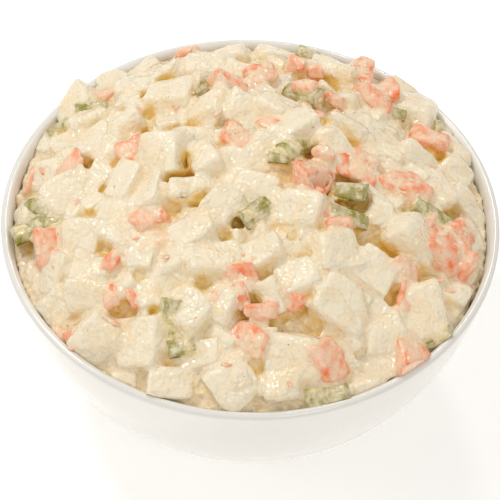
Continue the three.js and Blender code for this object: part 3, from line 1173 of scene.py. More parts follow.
def moist_group() -> NodeTree:
    """The skin of something moist: soft lumps, fine grain, and wet and drier patches.

    Returns:
        The group, which gives a relief's height and a roughness.
    """
    patches_to_lumps, patch_edges = 0.45, (0.38, 0.66)
    takes = {"Lump Scale": 350.0, "Grain Scale": 1500.0, "Grain": 0.35, "Wet": 0.22, "Dry": 0.5}
    wiring, given, out = group_tree("moist_skin", takes, "Height", "Roughness")
    place = wiring.place()
    lumps = wiring.noise(given["Lump Scale"], 1.0, place)
    grain = wiring.noise(given["Grain Scale"], 0.0, place)
    wiring.join(wiring.math("MULTIPLY_ADD", grain, given["Grain"], lumps), out["Height"])
    patch_scale = wiring.math("MULTIPLY", given["Lump Scale"], patches_to_lumps)
    patches = wiring.ramp(wiring.noise(patch_scale, 3.0, place), *patch_edges)
    span = wiring.math("SUBTRACT", given["Dry"], given["Wet"])
    wiring.join(wiring.math("MULTIPLY_ADD", patches, span, given["Wet"]), out["Roughness"])
    return wiring.tree


def film_group() -> NodeTree:
    """Dressing smeared over a piece in patches and streaks, which hides its own colour.

    Returns:
        The group, which gives the colour of a piece with its film.
    """
    streak_turn, streak_stretch = (0.0, 0.0, 0.6), (1.0, 0.35, 0.8)
    patch_share, bare_edge, cover_effect, softness = 0.55, 0.82, 0.62, 0.16
    takes = {
        "Bare": (1.0, 0.2, 0.02),
        "Cream": (0.9, 0.8, 0.6),
        "Cover": 0.5,
        "Thinnest": 0.1,
        "Thickest": 1.0,
        "Patch Scale": 220.0,
        "Streak Scale": 900.0,
    }
    wiring, given, out = group_tree("cream_film", takes, "Color")
    place = wiring.place()
    feeds = {"Vector": place, "Rotation": streak_turn, "Scale": streak_stretch}
    stretched = wiring.node("ShaderNodeMapping", feeds).outputs["Vector"]
    patch = wiring.noise(given["Patch Scale"], 3.0, place, 0.6)
    streak = wiring.noise(given["Streak Scale"], 3.0, stretched, 0.65)
    streaks = wiring.math("MULTIPLY", streak, 1 - patch_share)
    blend = wiring.math("MULTIPLY_ADD", patch, patch_share, streaks)
    edge = wiring.math("MULTIPLY_ADD", given["Cover"], -cover_effect, bare_edge)
    low, high = (wiring.math("ADD", edge, side * softness) for side in (-1, 1))
    span = wiring.math("SUBTRACT", given["Thickest"], given["Thinnest"])
    mask = wiring.math("MULTIPLY_ADD", wiring.ramp(blend, low, high), span, given["Thinnest"])
    wiring.join(wiring.mix(mask, given["Bare"], given["Cream"]), out["Color"])
    return wiring.tree


def painted_crevice_shade_group() -> NodeTree:
    """Painted shade between the pieces: warmer, then darker, the more hemmed in a point lies.

    Returns:
        The group, which gives a colour with the painted shade of the gaps in it.
    """
    takes = {
        "Color": (1.0, 1.0, 1.0),
        "Warm": (0.8, 0.6, 0.3),
        "Dark": (0.4, 0.2, 0.05),
        "Warm From": 0.22,
        "Warm To": 0.75,
        "Dark To": 0.85,
    }
    wiring, given, out = group_tree("crevice", takes, "Color")
    hollow = wiring.value_of("hollow")
    # Painted shade: the open colour multiplied by the warm tint, then blended to the dark colour in the
    # deepest gaps.
    warm = wiring.ramp(hollow, given["Warm From"], given["Warm To"])
    dark = wiring.ramp(hollow, given["Warm To"], given["Dark To"])
    tinted = wiring.mix(1.0, given["Color"], given["Warm"], "MULTIPLY")
    warmed = wiring.mix(warm, given["Color"], tinted)
    wiring.join(wiring.mix(dark, warmed, given["Dark"]), out["Color"])
    return wiring.tree


@dataclass(frozen=True)
class Palette:
    """The colours of the salad, its bowl and the floor, as they look on a screen."""

    cream: Colour = linear(249, 235, 210)
    cream_deep: Colour = linear(246, 225, 188)
    # Painted shade in the gaps: a warm tint and a dark colour; the dark one is also the pepper's.
    painted_shade_ochre: Colour = linear(246, 226, 150)
    shade_and_pepper_brown: Colour = linear(196, 142, 58)
    potato: Colour = linear(249, 237, 213)
    potato_deep: Colour = linear(247, 229, 195)
    carrot: Colour = linear(250, 110, 18)
    carrot_light: Colour = linear(250, 138, 60)
    carrot_stain: Colour = linear(250, 190, 150)
    carrot_film: Colour = linear(250, 222, 194)
    celery: Colour = linear(196, 182, 74)
    celery_flesh: Colour = linear(226, 214, 148)
    celery_skin: Colour = linear(146, 136, 16)
    celery_film: Colour = linear(246, 234, 208)
    pepper: Colour = linear(120, 96, 70)
    glaze: Colour = linear(236, 234, 229)
    glaze_deep: Colour = linear(230, 227, 221)
    clay: Colour = linear(226, 220, 208)
    paper: Colour = linear(250, 250, 250)


@dataclass(frozen=True)
class MoistSkin:
    """How moist stuff takes the light.

    lumps and grains count the relief's features to a metre, grain is the fine ones' share, and
    relief their height in millimetres. Roughness runs from wet to dry. soft is how much of the
    light goes into the stuff, soft_depth how far in millimetres, and soft_tint how far each colour.
    """

    lumps: float
    grains: float
    grain: float
    wet: float
    dry: float
    relief: float
    soft: float
    soft_depth: float
    soft_tint: Colour = (1.0, 0.8, 0.6)


DRESSING_SKIN = MoistSkin(330.0, 850.0, 0.35, 0.09, 0.3, 1.0, 0.4, 0.7)
POTATO_SKIN = MoistSkin(300.0, 850.0, 0.35, 0.09, 0.3, 0.9, 0.4, 0.7)
CARROT_SKIN = MoistSkin(420.0, 1000.0, 0.4, 0.12, 0.32, 0.6, 0.3, 0.7, (1.0, 0.75, 0.5))
CELERY_SKIN = MoistSkin(420.0, 1000.0, 0.4, 0.12, 0.32, 0.5, 0.2, 1.0, (1.0, 1.0, 0.6))


class Finish:
    """A material that starts with one principled shader."""

    def __init__(self, name: str) -> None:
        """Makes the material with its shader and output.

        Args:
            name: the material's name.
        """
        self.material = bpy.data.materials.new(name)
        self.material.use_nodes = True
        self.material.node_tree.nodes.clear()
        self.wiring = Wiring(self.material.node_tree)
        self.shader = self.wiring.node("ShaderNodeBsdfPrincipled")
        self.wiring.node("ShaderNodeOutputMaterial", {"Surface": self.shader.outputs["BSDF"]})

    def feed(self, **sources: object) -> None:
        """Links or sets the shader's own sockets, named with underscores for spaces."""
        for key, source in sources.items():
            self.wiring.join(source, self.shader.inputs[key.replace("_", " ")])

    def group(self, tree: NodeTree, **values: object) -> bpy.types.NodeOutputs:
        """Places a shared group, its inputs named with underscores for spaces; gives its outputs."""
        feeds = {key.replace("_", " "): value for key, value in values.items()}
        return self.wiring.node("ShaderNodeGroup", feeds, node_tree=tree).outputs

    def bump(self, height: NodeSocket, distance: float) -> None:
        """Fine relief from a height, distance millimetres deep."""
        feeds = {"Strength": 1.0, "Distance": distance * MM, "Height": height}
        self.feed(Normal=self.wiring.node("ShaderNodeBump", feeds).outputs["Normal"])


class Larder:
    """Every finish of the salad and its bowl."""

    # From where a piece's painted shade starts, how much deeper it is warm, and then dark.
    OPEN_START, COVERED_START = 0.1, 0.5
    WARM_SPAN, DARK_SPAN = 0.44, 0.78

    def __init__(self) -> None:
        """Makes the shared groups and then each finish."""
        self.colours = Palette()
        self.mottle = mottle_group()
        self.moist = moist_group()
        self.film = film_group()
        self.crevice = painted_crevice_shade_group()
        self.dressing = self._dressing()
        self.potato = self._potato()
        self.carrot = self._carrot()
        self.celery = self._celery()
        self.pepper = self._pepper()
        self.glaze = self._glaze()

    def clouds(
        self, finish: Finish, light: Colour, deep: Colour, scale: float, flecks: float, share: object
    ) -> bpy.types.NodeOutputs:
        """Places a mottle on a finish.

        Args:
            finish: the finish it belongs to.
            light: the first colour.
            deep: the second colour.
            scale: clouds to a metre.
            flecks: flecks to a metre.
            share: how much of the second colour shows.

        Returns:
            The mottle's colour and mask.
        """
        values = {"Cloud_Scale": scale, "Fleck_Scale": flecks, "Share": share}
        return finish.group(self.mottle, Light=light, Deep=deep, **values)

    def _show(self, finish: Finish, colour: NodeSocket, start: float) -> None:
        """Gives a finish its colour with painted shade, warmer from a depth between the pieces on.

        Args:
            finish: the finish to colour.
            colour: its colour in the open.
            start: how hemmed in a point is, from 0 to 1, where its painted shade starts to warm.
        """
        shaded = finish.group(
            self.crevice, Color=colour, Warm=self.colours.painted_shade_ochre, Dark=self.colours.shade_and_pepper_brown,
            Warm_From=start, Warm_To=start + self.WARM_SPAN, Dark_To=start + self.DARK_SPAN,
        )
        finish.feed(Base_Color=shaded["Color"])

    def _moisten(self, finish: Finish, skin: MoistSkin) -> None:
        """Gives a finish its relief and its wet and drier patches, and lets light a little way in.

        Args:
            finish: the finish to moisten.
            skin: how its skin takes the light.
        """
        patches = finish.group(
            self.moist, Lump_Scale=skin.lumps, Grain_Scale=skin.grains, Grain=skin.grain,
            Wet=skin.wet, Dry=skin.dry,
        )
        finish.bump(patches["Height"], skin.relief)
        finish.feed(
            Roughness=patches["Roughness"], Subsurface_Weight=skin.soft,
            Subsurface_Scale=skin.soft_depth * MM, Subsurface_Radius=skin.soft_tint,
        )

    def _dressing(self) -> Material:
        """Thick cream dressing: painted shade in its hollows, stained by the pieces next to it.

        Returns:
            The material.
        """
        colours = self.colours
        finish = Finish("dressing_cream")
        wiring = finish.wiring
        place = wiring.place()
        colour = self.clouds(finish, colours.cream, colours.cream_deep, 120.0, 900.0, 0.75)["Color"]
        broken = wiring.ramp(wiring.noise(420.0, 4.0, place, 0.65), 0.25, 0.85)
        for key, tint in (("stain", colours.carrot_stain), ("green", colours.celery)):
            share = wiring.math("MULTIPLY", wiring.value_of(key), broken, clamp=True)
            colour = wiring.mix(share, colour, tint)
        smear = wiring.ramp(wiring.noise(260.0, 4.0, place, 0.7), 0.67, 0.77)
        smeared = wiring.mix(wiring.math("MULTIPLY", smear, 0.4), colour, colours.carrot_stain)
        self._show(finish, smeared, self.OPEN_START)
        self._moisten(finish, DRESSING_SKIN)
        return finish.material

    def _potato(self) -> Material:
        """Boiled potato: pale flesh, a little mealy, under a thin film.

        Returns:
            The material.
        """
        colours = self.colours
        finish = Finish("potato_flesh")
        share = finish.wiring.math("MULTIPLY_ADD", finish.wiring.value_of("tone"), 0.6, 0.2)
        flesh = self.clouds(finish, colours.potato, colours.potato_deep, 160.0, 1300.0, share)
        film = finish.group(
            self.film, Bare=flesh["Color"], Cream=colours.cream, Cover=0.5,
            Patch_Scale=160.0, Streak_Scale=600.0,
        )
        self._show(finish, film["Color"], self.OPEN_START)
        self._moisten(finish, POTATO_SKIN)
        return finish.material

    def _carrot(self) -> Material:
        """Cooked carrot, orange where it is bare and pinkish under streaks of dressing.

        Returns:
            The material.
        """
        colours = self.colours
        finish = Finish("carrot_flesh")
        wiring = finish.wiring
        flesh = self.clouds(finish, colours.carrot, colours.carrot_light, 260.0, 1200.0, 0.5)
        edge = wiring.ramp(wiring.value_of("edge"), 0.8, 1.0)
        cover = wiring.math("MULTIPLY_ADD", edge, -0.1, 0.635)
        film = finish.group(
            self.film, Bare=flesh["Color"], Cream=colours.carrot_film, Cover=cover,
            Thinnest=0.0, Thickest=0.88, Patch_Scale=150.0, Streak_Scale=340.0,
        )
        self._show(finish, film["Color"], self.COVERED_START)
        self._moisten(finish, CARROT_SKIN)
        return finish.material

    def _celery(self) -> Material:
        """Celery: pale flesh, green skin along its outside, smeared with dressing.

        Returns:
            The material.
        """
        colours = self.colours
        finish = Finish("celery_flesh")
        wiring = finish.wiring
        flesh = self.clouds(finish, colours.celery_flesh, colours.celery, 300.0, 1100.0, 0.8)
        skin_share = wiring.ramp(wiring.value_of("skin"), 0.55, 1.0)
        film = finish.group(
            self.film, Bare=wiring.mix(skin_share, flesh["Color"], colours.celery_skin),
            Cream=colours.celery_film, Cover=0.5, Thinnest=0.0, Thickest=0.9,
            Patch_Scale=170.0, Streak_Scale=360.0,
        )
        self._show(finish, film["Color"], self.COVERED_START)
        self._moisten(finish, CELERY_SKIN)
        return finish.material

    def _pepper(self) -> Material:
        """Ground pepper.

        Returns:
            The material.
        """
        finish = Finish("pepper_grain")
        clouds = self.clouds(finish, self.colours.pepper, self.colours.shade_and_pepper_brown, 900.0, 4000.0, 0.8)
        finish.feed(Base_Color=clouds["Color"], Roughness=0.6)
        return finish.material

    def _glaze(self) -> Material:
        """White glaze over stoneware, bare clay under the foot ring.

        Returns:
            The material.
        """
        colours = self.colours
        finish = Finish("white_glaze")
        wiring = finish.wiring
        clouds = self.clouds(finish, colours.glaze, colours.glaze_deep, 25.0, 240.0, 0.5)
        bare = wiring.ramp(wiring.split(wiring.place())["Z"], 1.1 * MM, 0.4 * MM)
        shine = wiring.math("MULTIPLY_ADD", clouds["Mask"], 0.12, 0.16)
        waves = finish.group(self.moist, Lump_Scale=60.0, Grain_Scale=500.0, Grain=0.08)
        finish.bump(waves["Height"], 0.25)
        finish.feed(
            Base_Color=wiring.mix(bare, clouds["Color"], colours.clay),
            Roughness=wiring.math("MULTIPLY_ADD", bare, 0.5, shine),
            Coat_Weight=0.4, Coat_Roughness=0.08,
        )
        return finish.material


# --- Geometry node trees -------------------------------------------------------------------------


class Maker:
    """A geometry node tree with named inputs, run once on an object and turned into plain mesh."""

    def __init__(self, name: str, **takes: tuple[str, object]) -> None:
        """Starts the tree with a geometry input and named inputs, each a socket type and a value.

        Args:
            name: the tree's name.
            takes: each input's socket type, such as Float, and its value.
        """
        self.tree = bpy.data.node_groups.new(name, "GeometryNodeTree")
        face = self.tree.interface
        for way in ("INPUT", "OUTPUT"):
            face.new_socket("Geometry", in_out=way, socket_type="NodeSocketGeometry")
        self.values: dict[str, object] = {}
        for key, (kind, value) in takes.items():
            socket = face.new_socket(key, in_out="INPUT", socket_type=f"NodeSocket{kind}")
            self.values[socket.identifier] = value
        self.wiring = Wiring(self.tree)
        self.given = self.wiring.node("NodeGroupInput").outputs

    def finish(self, source: NodeSocket) -> None:
        """Ends the tree: smooth shading, instances made real, and the material set.

        Args:
            source: the shape so far.
        """
        node = self.wiring.node
        smooth = node("GeometryNodeSetShadeSmooth", {"Geometry": source}).outputs["Geometry"]
        real = node("GeometryNodeRealizeInstances", {"Geometry": smooth}).outputs["Geometry"]
        feeds = {"Geometry": real, "Material": self.given["Material"]}
        dressed = node("GeometryNodeSetMaterial", feeds).outputs["Geometry"]
        node("NodeGroupOutput", {"Geometry": dressed})

    def run(self, piece: Object) -> None:
        """Runs the tree on an object and keeps the result as its plain mesh.

        Args:
            piece: the object, which keeps the result as its own plain mesh.
        """
        modifier = piece.modifiers.new(self.tree.name, "NODES")
        modifier.node_group = self.tree
        for identifier, value in self.values.items():
            modifier[identifier] = value
        settle_modifiers(piece)


def turned_maker(outline: Object, turns: int, rings: int, material: Material) -> Maker:
    """A tree that turns an outline round the axis.

    Args:
        outline: a curve object whose points are radius and height.
        turns: segments round the axis.
        rings: steps along the outline.
        material: what the form is finished in.

    Returns:
        The tree, ready to run on any object.
    """
    maker = Maker(
        "turned_form",
        Outline=("Object", outline),
        Turns=("Int", turns),
        Rings=("Int", rings),
        Material=("Material", material),
    )
    wiring, given = maker.wiring, maker.given
    feeds = {"Vertices X": wiring.math("ADD", given["Turns"], 1.0), "Vertices Y": given["Rings"]}
    grid = wiring.node("GeometryNodeMeshGrid", feeds).outputs["Mesh"]
    place = wiring.split(wiring.node("GeometryNodeInputPosition").outputs["Position"])
    angle = wiring.math("MULTIPLY", place["X"], -2 * math.pi)
    share = wiring.math("ADD", place["Y"], 0.5, clamp=True)
    curve = wiring.node("GeometryNodeObjectInfo", {"Object": given["Outline"]}).outputs["Geometry"]
    feeds = {"Curves": curve, "Factor": share}
    at = wiring.split(wiring.node("GeometryNodeSampleCurve", feeds, mode="FACTOR").outputs["Position"])
    spot = wiring.vector(
        X=wiring.math("MULTIPLY", at["X"], wiring.math("COSINE", angle)),
        Y=wiring.math("MULTIPLY", at["X"], wiring.math("SINE", angle)),
        Z=at["Z"],
    )
    feeds = {"Geometry": grid, "Position": spot}
    bent = wiring.node("GeometryNodeSetPosition", feeds).outputs["Geometry"]
    feeds = {"Geometry": bent, "Distance": SEAM * MM}
    maker.finish(wiring.node("GeometryNodeMergeByDistance", feeds).outputs["Geometry"])
    return maker


@dataclass(frozen=True)
class Scatter:
    """Small bits spread over a surface.

    density counts them to a square metre, small and large are their widths in millimetres, stretch
    and flat their length and thickness as shares of that, and sink how deep they lie. None lies on
    a face that looks up less than facing. lump_scale and lump_height make their shapes uneven, tip
    is the most that they lean, in radians, and detail how finely they are cut.
    """

    name: str
    density: float
    small: float
    large: float
    stretch: float
    flat: float
    sink: float
    seed: int
    detail: int = 2
    facing: float = 0.15
    lump_scale: float = 1.3
    lump_height: float = 1.1
    tip: float = 0.5

    def maker(self, material: Material, low: float) -> Maker:
        """A tree that scatters uneven grains on the upward faces of what it runs on.

        Args:
            material: the grains' finish.
            low: height in millimetres under which none lie.

        Returns:
            The tree, ready to run on a copy of the surface.
        """
        maker = Maker(
            self.name,
            Density=("Float", self.density),
            Smallest=("Float", self.small * MM / 2),
            Largest=("Float", self.large * MM / 2),
            Stretch=("Float", self.stretch),
            Flat=("Float", self.flat),
            Sink=("Float", -self.sink * MM),
            Lowest=("Float", low * MM),
            Seed=("Int", self.seed),
            Material=("Material", material),
        )
        wiring, given = maker.wiring, maker.given
        place = wiring.split(wiring.node("GeometryNodeInputPosition").outputs["Position"])
        normal = wiring.split(wiring.node("GeometryNodeInputNormal").outputs["Normal"])
        high = wiring.math("GREATER_THAN", place["Z"], given["Lowest"])
        upward = wiring.math("GREATER_THAN", normal["Z"], self.facing)
        spread = wiring.node("GeometryNodeDistributePointsOnFaces", {
            "Mesh": given["Geometry"],
            "Selection": wiring.math("MULTIPLY", high, upward),
            "Density": given["Density"],
            "Seed": given["Seed"],
        })
        ball = wiring.node("GeometryNodeMeshIcoSphere", {"Radius": 1.0, "Subdivisions": self.detail})
        lumps = wiring.node("ShaderNodeTexNoise", {"Scale": self.lump_scale, "Detail": 2.0})
        stride, back = (self.lump_height,) * 3, (-self.lump_height / 2,) * 3
        feeds = {0: lumps.outputs["Color"], 1: stride, 2: back}
        uneven = wiring.node("ShaderNodeVectorMath", feeds, operation="MULTIPLY_ADD")
        feeds = {"Geometry": ball.outputs["Mesh"], "Offset": uneven.outputs["Vector"]}
        grain = wiring.node("GeometryNodeSetPosition", feeds)
        feeds = {"Max": (self.tip, self.tip, 2 * math.pi), "Seed": given["Seed"]}
        turn = wiring.node("FunctionNodeRandomValue", feeds, data_type="FLOAT_VECTOR")
        next_seed = wiring.math("ADD", given["Seed"], 1.0)
        feeds = {2: given["Smallest"], 3: given["Largest"], "Seed": next_seed}
        width = wiring.node("FunctionNodeRandomValue", feeds, data_type="FLOAT").outputs[1]
        put = wiring.node("GeometryNodeInstanceOnPoints", {
            "Points": spread.outputs["Points"],
            "Instance": grain.outputs["Geometry"],
            "Rotation": turn.outputs["Value"],
            "Scale": wiring.vector(
                X=wiring.math("MULTIPLY", width, given["Stretch"]),
                Y=width,
                Z=wiring.math("MULTIPLY", width, given["Flat"]),
            ),
        })
        feeds = {"Instances": put.outputs["Instances"], "Translation": wiring.vector(Z=given["Sink"])}
        maker.finish(wiring.node("GeometryNodeTranslateInstances", feeds).outputs["Instances"])
        return maker

    def build(self, surface: Object, material: Material, low: float) -> Object:
        """The scattered bits as one plain mesh object.

        Args:
            surface: what they lie on.
            material: their finish.
            low: height in millimetres under which none lie.

        Returns:
            The new object.
        """
        piece = linked(self.name, surface.data.copy())
        self.maker(material, low).run(piece)
        return piece


FLECKS = Scatter(
    "carrot_flecks", density=1300, small=0.8, large=2.6, stretch=1.7, flat=0.3, sink=0.25, seed=11
)
GRAINS = Scatter(
    "pepper_grains", density=1200, small=0.25, large=0.5, stretch=1.3, flat=0.8, sink=0.0, seed=23, detail=1
)


# --- The sub-assemblies --------------------------------------------------------------------------


def dress(piece: Object, material: Material) -> Object:
    """Gives a piece its finish and its place on the part's one body.

    Args:
        piece: the finished mesh.
        material: its material.

    Returns:
        The same piece.
    """
    piece.data.materials.clear()
    piece.data.materials.append(material)
    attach(piece, BODY)
    LOG.info("%s: %d faces", piece.name, len(piece.data.polygons))
    return piece


@dataclass
class Bowl:
    """The white bowl, turned from its section."""

    form: BowlForm = BowlForm()
    turns: int = 192
    rings: int = 150

    def build(self, larder: Larder) -> Object:
        """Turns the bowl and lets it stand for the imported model's.

        Args:
            larder: the finishes.

        Returns:
            The bowl.
        """
        curve = bpy.data.curves.new("section", "CURVE")
        curve.dimensions = "3D"
        line = curve.splines.new("POLY")
        section = self.form.section()
        line.points.add(len(section) - 1)
        for point, (radius, height) in zip(line.points, section):
            point.co = (radius * MM, 0, height * MM, 1)
        outline = linked("section", curve)
        piece = mesh_object("bowl_turned", np.zeros((3, 3)), [(0, 1, 2)])
        turned_maker(outline, self.turns, self.rings, larder.glaze).run(piece)
        bpy.data.objects.remove(outline)
        dress(piece, larder.glaze)
        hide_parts("bowl")
        return piece


@dataclass(frozen=True)
class CreamRelief:
    """How the dressing's thickness varies, in millimetres: a film on pieces, crumbs between them.

    film gives the height and size of each of the film's waves. A point counts as between the pieces
    from between_from to between_full away from them. There crumbs and slow swells come on top.
    """

    film: tuple[tuple[float, float], ...] = ((0.9, 8.0), (0.22, 3.2), (0.08, 1.6))
    between_from: float = 0.3
    between_full: float = 1.5
    crumb_height: float = 1.7
    crumb_size: float = 3.4
    crumb_middle: float = 0.6
    crack_share: float = 0.5
    crack_size: float = 1.7
    swell_height: float = 0.9
    swell_size: float = 5.0

    def lift(self, at: Vector, away: float) -> float:
        """How far the surface moves out at a point that lies a distance away from the pieces.

        Args:
            at: the point, in millimetres.
            away: its distance from the nearest piece.

        Returns:
            The distance in millimetres, below 0 if it moves in.
        """
        film = sum(height * noise.noise(at / size) for height, size in self.film)
        share = (away - self.between_from) / (self.between_full - self.between_from)
        cells = self.crumb_middle - noise.voronoi(at / self.crumb_size)[0][0]
        crumb = cells + self.crack_share * noise.noise(at / self.crack_size)
        swells = self.swell_height * noise.noise(at / self.swell_size)
        return film + min(max(share, 0.0), 1.0) * (self.crumb_height * crumb + swells)


# How much smaller than it shows each kind is in the skin that wraps it, in millimetres.
SHRINK = {Kind.POTATO: -0.05, Kind.CARROT: 0.2, Kind.CELERY: 0.2}
# The marks that pieces leave on the dressing: whose they are, and their reach in millimetres.
STAINS = {"stain": (Kind.CARROT, 0.75), "green": (Kind.CELERY, 0.6)}


@dataclass
class Salad:
    """The dressed heap: dressing, dice, carrots, celery and the small bits on them."""

    form: HeapForm = HeapForm()
    relief: CreamRelief = CreamRelief()
    core_turns: int = 120
    core_rings: int = 26
    low_plane: float = 60.0
    cut_plane: float = 69.0
    plane_gap: float = 3.0
    coarse: float = 0.8
    fine: float = 0.68
    fill_radius: float = 0.8
    most_faces: int = 196000
    skirt_steps: int = 7
    skirt_gap: float = 3.0
    floor_gap: float = 0.5
    bits_drop: float = 3.0
    # How far the crowding rays reach, and how hemmed in a pit counts, for the painted shade.
    hollow_reach: float = 9.0
    pit_hollow: float = 0.6

    def __post_init__(self) -> None:
        """Lays the pieces out."""
        self.pieces = laid_out(self.form)
        self.shapes = {id(p): CUT_SHAPES[p.kind].shape(p, self.form) for p in self.pieces}

    def build(self, larder: Larder) -> list[Object]:
        """Makes every piece of the salad.

        Args:
            larder: the finishes.

        Returns:
            The pieces, the dressing first.
        """
        dressing = self._dressing(larder)
        named = (
            (Kind.POTATO, "potato_dice", larder.potato),
            (Kind.CARROT, "carrot_chunks", larder.carrot),
            (Kind.CELERY, "celery_lengths", larder.celery),
        )
        cut = [dress(join_shapes(name, self._of(kind)), finish) for kind, name, finish in named]
        low = self.form.bowl.rim_height - self.bits_drop
        strewn = ((FLECKS, larder.carrot, "carrot"), (GRAINS, larder.pepper, "dressing"))
        bits = [dress(bit.build(dressing, finish, low), finish) for bit, finish, slot in strewn]
        self._hollows(dressing, cut)
        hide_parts("salad")
        return [dressing, *cut, *bits]

    def _of(self, *kinds: Kind) -> list[Shape]:
        """The shapes of all the pieces of some kinds."""
        return [self.shapes[id(piece)] for piece in self.pieces if piece.kind in kinds]

    def _core(self) -> Shape:
        """The upper part of the heap's core, closed by a flat underside.

        Returns:
            The core, wide enough to meet the bowl's wall.
        """
        form = self.form
        bowl = form.bowl
        edge = bowl.inner_radius(form.edge_drop + form.edge_sink) - form.wall_gap
        foot = bowl.inner_radius(bowl.rim_height - self.low_plane) - form.wall_gap
        middle = form.core_height(0, 0, edge)
        profile: Profile = [(0, self.low_plane), (foot / 2, self.low_plane), (foot, self.low_plane)]
        profile += [(r, middle) for r in steps(edge, 0, self.core_rings)]
        shape = turned(profile, self.core_turns)
        for i, (x, y, z) in enumerate(shape.points):
            if z > self.low_plane + 1:
                shape.points[i, 2] = form.core_height(x, y, edge)
        return shape

    def _dressing(self, larder: Larder) -> Object:
        """The dressing: a thick skin that wraps core and pieces and fills the hollows between them.

        Args:
            larder: the finishes.

        Returns:
            The dressing, dressed.
        """
        shapes = [self._core()]
        for piece in self.pieces:
            shape = CUT_SHAPES[piece.kind].shape(piece, self.form, SHRINK[piece.kind])
            shapes.append(Shape(shape.points, shape.faces))
        dressing = join_shapes("dressing", shapes)
        for side in (1, -1):
            remesh(dressing, self.coarse)
            swell(dressing, side * self.fill_radius)
        write_points(dressing.data, self.form.dented(read_points(dressing.data) / MM) * MM)
        remesh(dressing, self.fine)
        self._close_below(dressing)
        self._relieve(dressing)
        thin_out(dressing, self.most_faces)
        self._stain(dressing)
        return dress(dressing, larder.dressing)

    def _close_below(self, dressing: Object) -> None:
        """Cuts the skin off under the rim and closes it down the bowl's wall and over its floor.

        Args:
            dressing: the mesh object, changed in place.
        """
        bowl = self.form.bowl
        work = bmesh.new()
        work.from_mesh(dressing.data)
        everything = [*work.verts, *work.edges, *work.faces]
        plane = (0, 0, self.cut_plane * MM)
        bmesh.ops.bisect_plane(work, geom=everything, plane_co=plane, plane_no=(0, 0, 1), clear_inner=True)
        self._keep_largest(work)
        ends = [edge for edge in work.edges if edge.is_boundary]
        floor_depth = bowl.rim_height - bowl.floor_height - self.skirt_gap
        for depth in steps(bowl.rim_height - self.cut_plane, floor_depth, self.skirt_steps)[1:]:
            made = bmesh.ops.extrude_edge_only(work, edges=ends)["geom"]
            reach = (bowl.inner_radius(depth) - self.form.wall_gap) * MM
            for vertex in (v for v in made if isinstance(v, bmesh.types.BMVert)):
                flat = Vector((vertex.co.x, vertex.co.y)).normalized() * reach
                vertex.co = (flat.x, flat.y, (bowl.rim_height - depth) * MM)
            ends = [e for e in made if isinstance(e, bmesh.types.BMEdge) and e.is_boundary]
        centre = work.verts.new((0, 0, (bowl.floor_height + self.floor_gap) * MM))
        for edge in ends:
            work.faces.new((*edge.verts, centre))
        bmesh.ops.recalc_face_normals(work, faces=work.faces)
        work.to_mesh(dressing.data)
        work.free()
        LOG.info("dressing closed below with %d ends", len(ends))

    @staticmethod
    def _keep_largest(work: bmesh.types.BMesh) -> None:
        """Drops every loose scrap and sealed hollow, and keeps the one large skin.

        Args:
            work: the mesh being edited.
        """
        work.verts.ensure_lookup_table()
        seen = bytearray(len(work.verts))
        islands: list[list] = []
        for start in work.verts:
            if seen[start.index]:
                continue
            seen[start.index] = 1
            island, front = [start], [start]
            while front:
                vertex = front.pop()
                for edge in vertex.link_edges:
                    other = edge.other_vert(vertex)
                    if not seen[other.index]:
                        seen[other.index] = 1
                        island.append(other)
                        front.append(other)
            islands.append(island)
        islands.sort(key=len, reverse=True)
        scraps = [vertex for island in islands[1:] for vertex in island]
        bmesh.ops.delete(work, geom=scraps, context="VERTS")

    def _relieve(self, dressing: Object) -> None:
        """Films the pieces unevenly, gives the dressing between them lumps, and keeps it in the bowl.

        Args:
            dressing: the mesh object, changed in place.
        """
        mesh = dressing.data
        points = averaged(read_points(mesh), edge_pairs(mesh), 1)
        write_points(mesh, points)
        normals = read_normals(mesh)
        surfaces = tree_of(self._of(*Kind))
        lift = np.zeros(len(points))
        for i in np.flatnonzero(points[:, 2] > (self.cut_plane + self.plane_gap) * MM):
            at = Vector(points[i]) / MM
            found, facing, _, _ = surfaces.find_nearest(at)
            lift[i] = self.relief.lift(at, (at - found).dot(facing))
        moved = (points + normals * (lift * MM)[:, None]) / MM
        write_points(mesh, self.form.keep_inside(moved) * MM)

    def _hollows(self, dressing: Object, others: Sequence[Object]) -> None:
        """Notes how deep each point of each piece lies between its neighbours, for painted shade.

        Args:
            dressing: the finished dressing.
            others: the pieces that lie in it.
        """
        mesh = dressing.data
        points = read_points(mesh) / MM
        faces = [tuple(face.vertices) for face in mesh.polygons]
        skin = tree_of([Shape(points, faces)])
        top = points[:, 2] > self.cut_plane
        hemmed = np.zeros(len(points))
        hemmed[top] = crowding(points[top], read_normals(mesh)[top], skin, self.hollow_reach)
        # Pits count as hemmed in too, so they take painted shade.
        in_pit = np.max([self.pit_hollow * pit.share(points) for pit in PITS], axis=0)
        evened = averaged(np.maximum(hemmed, in_pit)[:, None], edge_pairs(mesh), 2)[:, 0]
        write_values(mesh, "hollow", evened)
        for piece in others:
            nearest = (skin.find_nearest(point)[2] for point in read_points(piece.data) / MM)
            write_values(piece.data, "hollow", np.array([evened[faces[i][0]] for i in nearest]))

    def _stain(self, dressing: Object) -> None:
        """Notes how near each point of the dressing is to carrot and to celery.

        Args:
            dressing: the finished dressing.
        """
        points = read_points(dressing.data) / MM
        for key, (kind, reach) in STAINS.items():
            tree = tree_of(self._of(kind))
            distance = np.array([tree.find_nearest(point)[3] for point in points])
            write_values(dressing.data, key, np.exp(-((distance / reach) ** 2)))


# --- Camera, floor and light ---------------------------------------------------------------------


@dataclass(frozen=True)
class Lamp:
    """A square light that faces the bowl, in metres and watts."""

    name: str
    place: Point
    size: float
    power: float


LAMPS = (
    Lamp("key", (-0.45, 0.3, 1.0), 0.18, 3.3),
    Lamp("back", (0.1, 0.85, 1.0), 0.14, 1.6),
    Lamp("fill", (0.45, -0.95, 0.85), 0.5, 2.6),
    Lamp("side", (-0.9, -0.3, 0.6), 0.3, 0.9),
)


